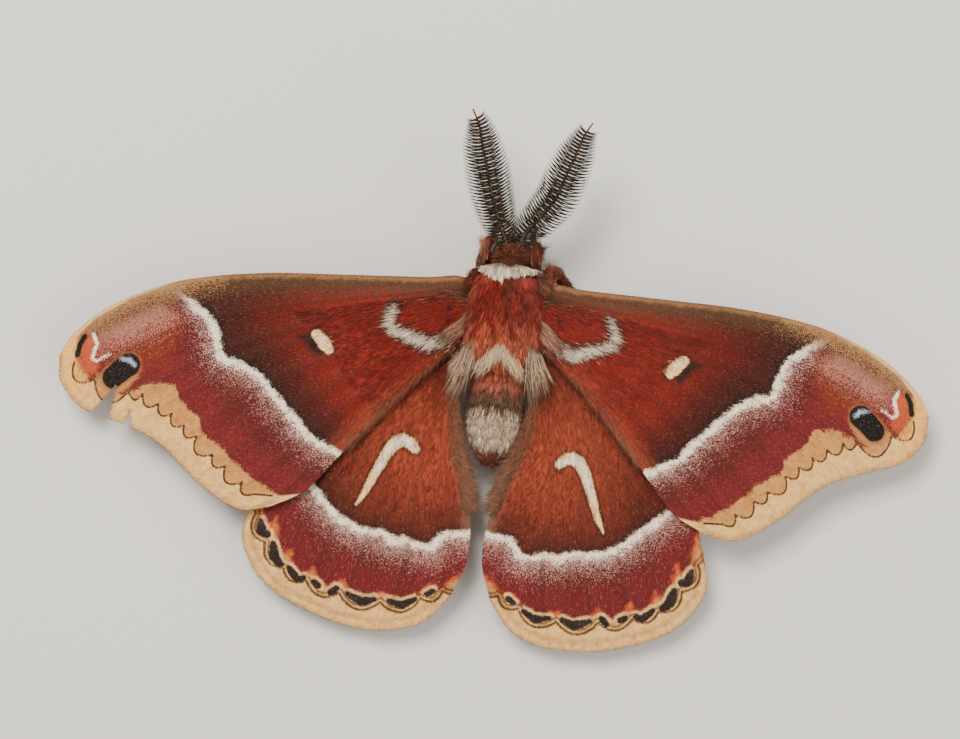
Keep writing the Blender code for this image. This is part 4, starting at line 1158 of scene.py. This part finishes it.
def collar_coat(material):
    """The white saddle of hair behind the head: two lobes that fan out from their own middles."""
    count = COAT_HAIRS["collar_coat"]
    turn = rng.uniform(-1.4, 1.4, count)
    x = 4.1 * np.sin(turn)
    front = np.interp(x, *np.array(COLLAR_FRONT).T)
    rear = np.interp(x, *np.array(COLLAR_REAR).T)
    middle = np.where(x < 0.2, -0.32, 0.42)
    outward = np.stack((np.sin(turn), 0 * turn, np.cos(turn)), axis=-1)
    root_y = front - 0.15 - (front - rear) * 0.6 * rng.uniform(0, 1, count)
    long = (root_y - rear) * rng.uniform(0.7, 1.15, count)
    fan = 0.5 * (turn - middle) * (front - rear)
    puff = 0.45 + 0.45 * (front - rear) / 2.4
    paths = []
    for t, rise in COLLAR_RISE:
        turned = np.clip(turn + 0.3 * fan * t, -1.5, 1.5)
        point = np.stack((COLLAR_RADIUS[0] * np.sin(turned), root_y - long * t,
                          COLLAR_CENTRE[2] + COLLAR_RADIUS[1] * np.cos(turned)), axis=-1)
        paths.append(point + outward * (rise * puff)[:, None])
    paths = np.stack(paths, axis=1)
    places = unwrapped(root_y, turn, *COLLAR_MAP)
    paths, lightness = in_locks(paths, 26, 0.7, 0.25)
    paths[:, 1:3] += outward[:, None, :] * (1.3 * lightness[:, None, :] - 1.25)
    paths[:, 1:] += rng.normal(0, 0.05, (count, 3, 3))
    cream = 0.3 * step(turn, -0.1, 0.6) + 0.4 * (rng.uniform(0, 1, count) < 0.2)
    colours = blend(evenly("collar", count), cream, "vee") * lightness ** 2
    add_coat("collar_coat", paths, FINE_HAIR, outward, colours, places, material, "white_hair", 0.3)


def eye_centre(side):
    return Vector((EYE_CENTRE[0] + side * EYE_SPREAD, EYE_CENTRE[1], EYE_CENTRE[2]))


def head_coat(material):
    """Short hair that leans forward over the head, longer at the brows and clear of the eyes."""
    directions = unit(rng.normal(0, 1, (COAT_HAIRS["head_coat"], 3)))
    centre, half = (np.array(HEAD_SKIN[0]), np.array(HEAD_SKIN[1]))
    roots = centre + directions * half
    keep = roots[:, 1] > 5.3
    for _, side in SIDES:
        keep &= np.linalg.norm(roots - np.array(eye_centre(side)), axis=1) > 1.0
    roots, directions = roots[keep], directions[keep]
    count = len(roots)
    outward = unit(directions / half)
    brow = np.exp(-((np.abs(directions[:, 0]) - 0.6) / 0.25) ** 2) * (directions[:, 2] > 0.2)
    ahead = np.stack((np.sign(directions[:, 0]) * 1.1 * brow, 0.9 - 0.4 * brow, 0.1 - 0.3 * brow), axis=-1)
    lie = unit(outward * 0.6 + ahead + rng.normal(0, 0.3, (count, 3)))
    short = np.interp(directions[:, 1], (-0.3, 0.4), (1.0, 0.5))
    long = (rng.uniform(0.6, 1.25, count) * (1 + 0.35 * brow) * short)[:, None]
    low_bend, high_bend = roots + outward * 0.3 * long, roots + outward * 0.38 * long + lie * 0.4 * long
    tips = roots + outward * 0.4 * long + lie * 0.9 * long
    paths = np.stack((roots - outward * 0.3, low_bend, high_bend, tips), axis=1)
    paths[:, :, 1] = np.minimum(paths[:, :, 1], 8.9)
    turn = np.arctan2(directions[:, 0], directions[:, 2])
    colours = blend(evenly("head", count), 0.4 * rng.uniform(0, 1, count) ** 2, "leg_light")
    places = unwrapped(roots[:, 1], turn, *HEAD_MAP)
    add_coat("head_coat", paths, SHORT_HAIR, lie, colours, places, material, "head_hair")


def leg_coat(material):
    """Fur along thighs and shins, long and pale-tipped on the thighs, short and close on the feet."""
    groups = []
    for row, name in enumerate(LEGS):
        hip, knee, ankle, heel, toe = (np.array(p) for p in leg_path(name))
        thigh = (hip, knee, FEMUR, 1.9 if "front" in name else 1.5)
        shin = (knee, ankle, TIBIA, 1.1)
        foot = (heel, toe, TARSUS, 0.35)
        for part, (start, end, girth, long) in enumerate((thigh, shin, foot)):
            count = LEG_HAIRS[part]
            t = rng.uniform(0.12 if part == 0 else 0.0, 0.97, count)
            turn = rng.uniform(-math.pi, math.pi, count)
            along = unit(end - start)
            side = unit(np.cross(along, (0.0, 0.0, 1.0) if abs(along[2]) < 0.9 else (0.0, 1.0, 0.0)))
            lift = np.cross(side, along)
            outward = np.sin(turn)[:, None] * side + np.cos(turn)[:, None] * lift
            root = start + (end - start) * t[:, None] + outward * (0.42 * girth)
            reach = long * rng.uniform(0.5, 1.15, count)[:, None]
            stray = rng.normal(0, 0.22 if part == 0 else 0.1, (count, 3))
            tip = root + along * (0.7 * reach) + outward * (0.45 * reach) + stray * reach
            bend = root + along * (0.3 * reach) + outward * (0.32 * reach)
            path = np.stack((root - outward * 0.1, bend, tip), axis=1)
            path[:, :, 2] = np.maximum(path[:, :, 2], 0.1)
            place_u = 0.02 + (row + (turn + math.pi) / (2 * math.pi)) * 0.96 / 6
            place_v = 0.02 + (part + t) * 0.96 / 3
            shades = blend(evenly("leg", count), (rng.uniform(0, 1, count) < 0.3) * 0.8, "head")
            pale = (0.9 if part == 0 else 0.3) * rng.uniform(0, 1, count) ** 2
            shades = blend(shades, pale, "leg_light")
            groups.append((path, outward, shades, np.stack((place_u, place_v), axis=-1)))
    paths, ups, colours, places = gathered(groups)
    add_coat("leg_coat", paths, SHORT_HAIR, ups, colours, places, material, "leg_hair")


def wing_hair_paths(kind, side_name, side, count, fringe):
    """Hair on a wing's base and a fringe along its inner margin: paths, colours and places on the map."""
    edge = np.arange(count + fringe) >= count
    total = len(edge)
    u = np.where(edge, rng.uniform(0.05, 0.62, total), 0.02 + 0.6 * rng.uniform(0, 1, total) ** 1.35)
    v = np.where(edge, 1 - 0.05 * rng.uniform(0, 1, total) ** 2, rng.uniform(0.22, 1.0, total))
    if kind == "forewing":
        u = np.where(edge, u, u * 0.72)
    chord = np.interp(u, (0, 1), (4.0, 34.0))
    long = rng.uniform(0.02, 0.05, total) * np.interp(u, (0.25, 0.45), (1.0, 0.6))
    long = np.where(edge, rng.uniform(0.035, 0.075, total), long)
    lift = rng.uniform(0.05, 0.28, total) * np.interp(u, (0.0, 0.5), (1.4, 0.45))
    drift = rng.normal(0, 0.25, total) / chord
    beyond = edge * rng.uniform(0.2, 2.4, total) * np.interp(u, (0.1, 0.4), (0.2, 1.0))
    sink = 0.0
    if kind == "forewing":
        beyond = edge * rng.uniform(0.1, 1.3, total)
        sink = 0.55 * beyond
    rows = []
    for t, rise in WING_RISE:
        now_u, now_v = np.clip(u + long * t, 0, 1), np.clip(v + drift * t, 0, 1)
        flat, mark, lines = wing_places(kind, side_name, now_u, now_v)
        ahead = wing_places(kind, side_name, now_u, now_v - 0.03)[0]
        flat = flat + unit(flat - ahead) * (beyond * t)[:, None]
        if 0 < t < 1:
            marks = mark
        z = wing_height(kind, now_u, now_v, flat)[0] + 0.11 + lift * rise - sink * t
        rows.append(np.stack((side * flat[:, 0], flat[:, 1], z), axis=-1))
    colours = wing_tint(kind, wing_fields(kind, marks, lines))
    pale = edge * (rng.uniform(0, 1, total) < np.interp(u, (0.1, 0.45), (0.3, 0.75)))
    colours = blend(colours, pale * 0.8, "margin_hair")
    half = 0.48 if side > 0 else 0.0
    places = np.stack((0.02 + 0.95 * u, 0.02 + 0.46 * np.minimum(v, 1) + half), axis=-1)
    return np.stack(rows, axis=1), colours, places


def wing_hair(material):
    """Fine hair on the wing bases in the wings' own colours, one coat for each kind of wing."""
    for kind, counts in WING_HAIRS.items():
        groups = [wing_hair_paths(kind, side_name, side, *counts) for side_name, side in SIDES]
        paths, colours, places = gathered(groups)
        paths, lightness = in_locks(paths, 8, 0.3, 0.05)
        add_coat(kind + "_hair", paths, (0.045, 0.085), upward(len(paths)), colours * (0.7 + 0.3 * lightness),
                 places, material, "wing_scales", 0.82)


def torn(x, y):
    """Whether places as seen from above lie in a tear of the left forewing."""
    lost = np.zeros(len(x), dtype=bool)
    for corners in TEARS:
        ways = []
        for (ax, ay), (bx, by) in zip(corners, corners[1:] + corners[:1]):
            ways.append((bx - ax) * (y - ay) - (by - ay) * (x - ax) > 0)
        lost |= np.all(ways, axis=0) | ~np.any(ways, axis=0)
    return lost


def wing_rims(material):
    """A short fringe of hair scales along the wings' outer margins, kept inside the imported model's box."""
    shift = np.array(SHIFT)
    box_low, box_high = (np.array(c) / METRES - shift for c in cad_box)
    groups = []
    for row, kind in enumerate(WINGS):
        for side_name, side in SIDES:
            count = RIM_HAIRS
            v = rng.uniform(0.005, 0.995, count)
            root_u = 1 - rng.uniform(0.004, 0.02, count)
            roots, marks, lines = wing_places(kind, side_name, root_u, v)
            edge = wing_places(kind, side_name, np.ones(count), v)[0]
            out = unit(edge - roots) * rng.uniform(0.1, 0.42, count)[:, None]
            z = wing_height(kind, np.ones(count), v, edge)[0]
            colours = wing_tint(kind, wing_fields(kind, marks, lines))
            colours = blend(colours, 0.5 * rng.uniform(0, 1, count), "cream_rim")
            path = []
            for flat, rise in ((roots, 0.08), (edge, 0.14), (edge + out, 0.02)):
                path.append(np.stack((side * flat[:, 0], flat[:, 1], z + rise), axis=-1))
            path = np.clip(np.stack(path, axis=1), box_low + RIM_CLEARANCE, box_high - RIM_CLEARANCE)
            keep = ~torn(path[:, 1, 0], path[:, 1, 1])
            place_u = 0.02 + 0.24 * (2 * row + (side > 0)) + 0.2 * v
            places = np.stack((place_u, 0 * v + 0.985), axis=-1)
            groups.append((path[keep], colours[keep], places[keep]))
    paths, colours, places = gathered(groups)
    add_coat("wing_fringe", paths, SHORT_HAIR, upward(len(paths)), colours, places, material,
             "wing_scales", 0.9)


def add_eye(side_name, side, material):
    bm = bmesh.new()
    bmesh.ops.create_icosphere(bm, subdivisions=5, radius=EYE_RADIUS)
    bmesh.ops.translate(bm, verts=bm.verts[:], vec=eye_centre(side))
    finished("eye_ball_" + side_name, mesh_from(bm, "eye"), material, "eye_facets", "eye_" + side_name)


def eye_finish():
    finish = Finish("eye_facets", 0.12, 0.6)
    finish.colour = tint("eye")
    finish.mix(finish.times(finish.ramp(finish.noise(0.7, 2.0), 0.4, 0.7), 0.5), tint("claw"))
    cells = finish.add("ShaderNodeTexVoronoi")
    cells.inputs["Scale"].default_value = 1 / (0.09 * METRES)
    finish.feed(cells.inputs["Vector"], finish.place)
    finish.bump(cells.outputs["Distance"], 0.03, 0.6)
    return finish.close()


def feeler_finish():
    finish = Finish("feeler_horn", 0.5, 0.25)
    finish.colour = tint("feeler")
    finish.mix(finish.field("tip"), tint("feeler_tip"))
    # Painted highlights: gold glints in patches on the dark feelers.
    finish.mix(finish.times(finish.ramp(finish.noise(0.3, 3.0), 0.5, 0.66), 0.45), tint("painted_gold_glint"))
    finish.bump(finish.noise(0.12, 2.0), 0.03, 0.5)
    return finish.close()


def feeler_rays(fine):
    """The combs of rays along a feeler's shaft: their paths, the shaft's way at each, and their lengths."""
    steps = len(fine) - 1
    paths, ups, lengths = [], [], []
    for k in range(RAYS_A_SIDE):
        t = 0.015 + 0.91 * k / (RAYS_A_SIDE - 1)
        at = min(max(round(t * steps), 1), steps - 1)
        along = unit(fine[at + 1] - fine[at - 1])
        out = unit(np.cross(along, (0.0, 0.0, 1.0)))
        up = np.cross(out, along)
        length = RAY_LENGTH * math.sin(math.pi * (0.16 + 0.72 * t)) ** 0.9
        length = length * (1 - 0.35 * max(0, t - 0.75) / 0.25)
        length *= min(1.0, 0.4 + 7 * t)
        for way in (-1, 1):
            upper, lower = (RAY_LIFT + 0.1, RAY_SWEEP, 0.0), (RAY_LIFT - 0.16, RAY_SWEEP + 0.12, 0.1)
            for lift, sweep, ahead in (upper, lower):
                direction = out * way + up * lift
                ray = []
                for s in np.linspace(0, 1, 5):
                    droop = -0.12 * length * s * s
                    spot = fine[at] + along * (0.06 * way + ahead) + direction * (length * s * (1 - 0.06 * s))
                    ray.append(spot + along * (sweep * length * s ** 2.2) + up * droop)
                paths.append(ray)
                ups.append(along)
                lengths.append(length)
    return np.array(paths), np.array(ups), lengths


def ray_bristles(paths, ups, lengths):
    """Paths of the short bristles on both edges of every ray."""
    bristles = []
    for ray, along, length in zip(paths, ups, lengths):
        for s in np.linspace(0.1, 0.97, BRISTLES_A_RAY):
            spot = np.array([np.interp(s, np.linspace(0, 1, 5), ray[:, k]) for k in range(3)])
            for way in (-1, 1):
                reach = along * (BRISTLE_REACH * way) + (ray[-1] - ray[0]) / length * 0.16
                bristles.append((spot, spot + reach))
    return np.array(bristles)


def add_feeler(side_name, side, material):
    """A feathered feeler: a jointed shaft and four combs of fine rays, two to a side, and a bare tip."""
    root = Vector(HEAD_SKIN[0]) + Vector((0.4 * side, -0.1, 2.0))
    steps = 8 * RAYS_A_SIDE
    fine = curve([tuple(root)] + list(SHAFTS[side_name]), np.linspace(0, 1, steps + 1))
    shaft = [Vector(p) for p in fine[::2]]
    girths = []
    for k in range(len(shaft)):
        t = k / (len(shaft) - 1)
        joint = 1 + 0.07 * math.cos(k * math.pi / 2)
        girths.append(SHAFT_GIRTH * min(1, 0.6 + 4 * t) * (1 - 0.62 * t) * joint)
    bm = rounded_bar(shaft, girths, 10)
    bmesh.ops.triangulate(bm, faces=bm.faces[:])
    bm.verts.ensure_lookup_table()
    shaft_points = np.array([v.co for v in bm.verts])
    shaft_faces = np.array([[v.index for v in f.verts] for f in bm.faces])
    bm.free()

    paths, ups, lengths = feeler_rays(fine)
    widths = np.repeat(np.array([RAY_GIRTHS]), len(paths), axis=0)
    ray_points, ray_faces, _ = strands(paths, widths, widths, ups, 4)
    bristles = ray_bristles(paths, ups, lengths)
    thin = np.full((len(bristles), 1), BRISTLE_GIRTH)
    bristle_points, bristle_faces, _ = strands(bristles, thin, thin, upward(len(bristles)), 3)

    points = np.concatenate((shaft_points, ray_points, bristle_points))
    ray_faces = ray_faces + len(shaft_points)
    bristle_faces = bristle_faces + len(shaft_points) + len(ray_points)
    mesh = joined_mesh("feeler", points, np.concatenate((shaft_faces, ray_faces, bristle_faces)))
    end = fine[round(0.93 * steps)]
    way = unit(fine[-1] - end)
    set_field(mesh, "tip", np.clip(((points - end) @ way) / 0.5, 0, 1))
    finished("feeler_" + side_name, mesh, material, "feeler", "antenna_" + side_name)


def claw_finish():
    finish = Finish("claw_horn", 0.3, 0.5)
    finish.colour = tint("claw")
    finish.mix(finish.times(finish.noise(0.15, 2.0), 0.5), tint("feeler_tip"))
    return finish.close()


def add_claws(material):
    """Two small hooks at the end of each foot."""
    paths = []
    for name in LEGS:
        heel, toe = leg_path(name)[3:]
        along = (toe - heel).normalized()
        across = along.cross(Vector((0, 0, 1))).normalized()
        for way in (-1, 1):
            side = across * way
            paths.append([toe + along * a + side * b + Vector((0, 0, c)) for a, b, c in CLAW_HOOK])
    paths = np.array(paths)
    widths = np.repeat(np.array([CLAW_GIRTHS]), len(paths), axis=0)
    points, faces, _ = strands(paths, widths, widths, upward(len(paths)), 6)
    finished("claws", joined_mesh("claws", points, faces), material, "feeler")


def add_floor():
    bm = bmesh.new()
    bmesh.ops.create_grid(bm, x_segments=1, y_segments=1, size=FLOOR_HALF)
    floor = linked("floor", mesh_from(bm, "floor"))
    finish = Finish("floor_paint", 0.8, 0.2)
    finish.colour = tint("floor")
    floor.data.materials.append(finish.close())


def add_light(name, place, size, power):
    data = bpy.data.lights.new(name, "AREA")
    data.size = size
    data.energy = power
    data.color = (1.0, 0.95, 0.88)
    light = linked(name, data)
    light.location = place
    light.rotation_euler = (Vector(place) * -1).to_track_quat("-Z", "Y").to_euler()


def add_camera():
    data = bpy.data.cameras.new("camera")
    data.lens = CAMERA_LENS
    data.sensor_width = SENSOR_WIDTH
    data.clip_start = 0.01
    camera = linked("camera", data)
    distance = PHOTO_WIDTH / SENSOR_WIDTH * CAMERA_LENS
    place = Vector((PHOTO_CENTRE[0], PHOTO_CENTRE[1], WING_PLANE + distance)) + SHIFT
    camera.location = place * METRES
    camera.rotation_euler = (0, 0, PHOTO_TURN)
    bpy.context.scene.camera = camera


def add_studio():
    world = bpy.data.worlds.new("studio")
    world.use_nodes = True
    sky = world.node_tree.nodes["Background"]
    sky.inputs["Color"].default_value = (1.0, 0.97, 0.93, 1)
    sky.inputs["Strength"].default_value = 0.6
    bpy.context.scene.world = world
    add_light("key", (-0.14, 0.2, 0.44), 0.2, 3.4)
    add_light("fill", (0.35, -0.1, 0.35), 0.4, 1.2)


add_camera()
add_studio()
add_floor()
scales = {kind: wing_finish(kind) for kind in WINGS}
hair = hair_finish("hair")
for side_name, side in SIDES:
    for kind in WINGS:
        add_wing(kind, side_name, side, scales[kind])
add_skin(hair_finish("skin_down", 0.8))
add_thorax_coats(hair)
add_tufts(hair)
add_abdomen_coat(hair)
collar_coat(hair)
head_coat(hair)
leg_coat(hair)
wing_hair(hair)
wing_rims(hair)
facets = eye_finish()
horn = feeler_finish()
for side_name, side in SIDES:
    add_eye(side_name, side, facets)
    add_feeler(side_name, side, horn)
add_claws(claw_finish())
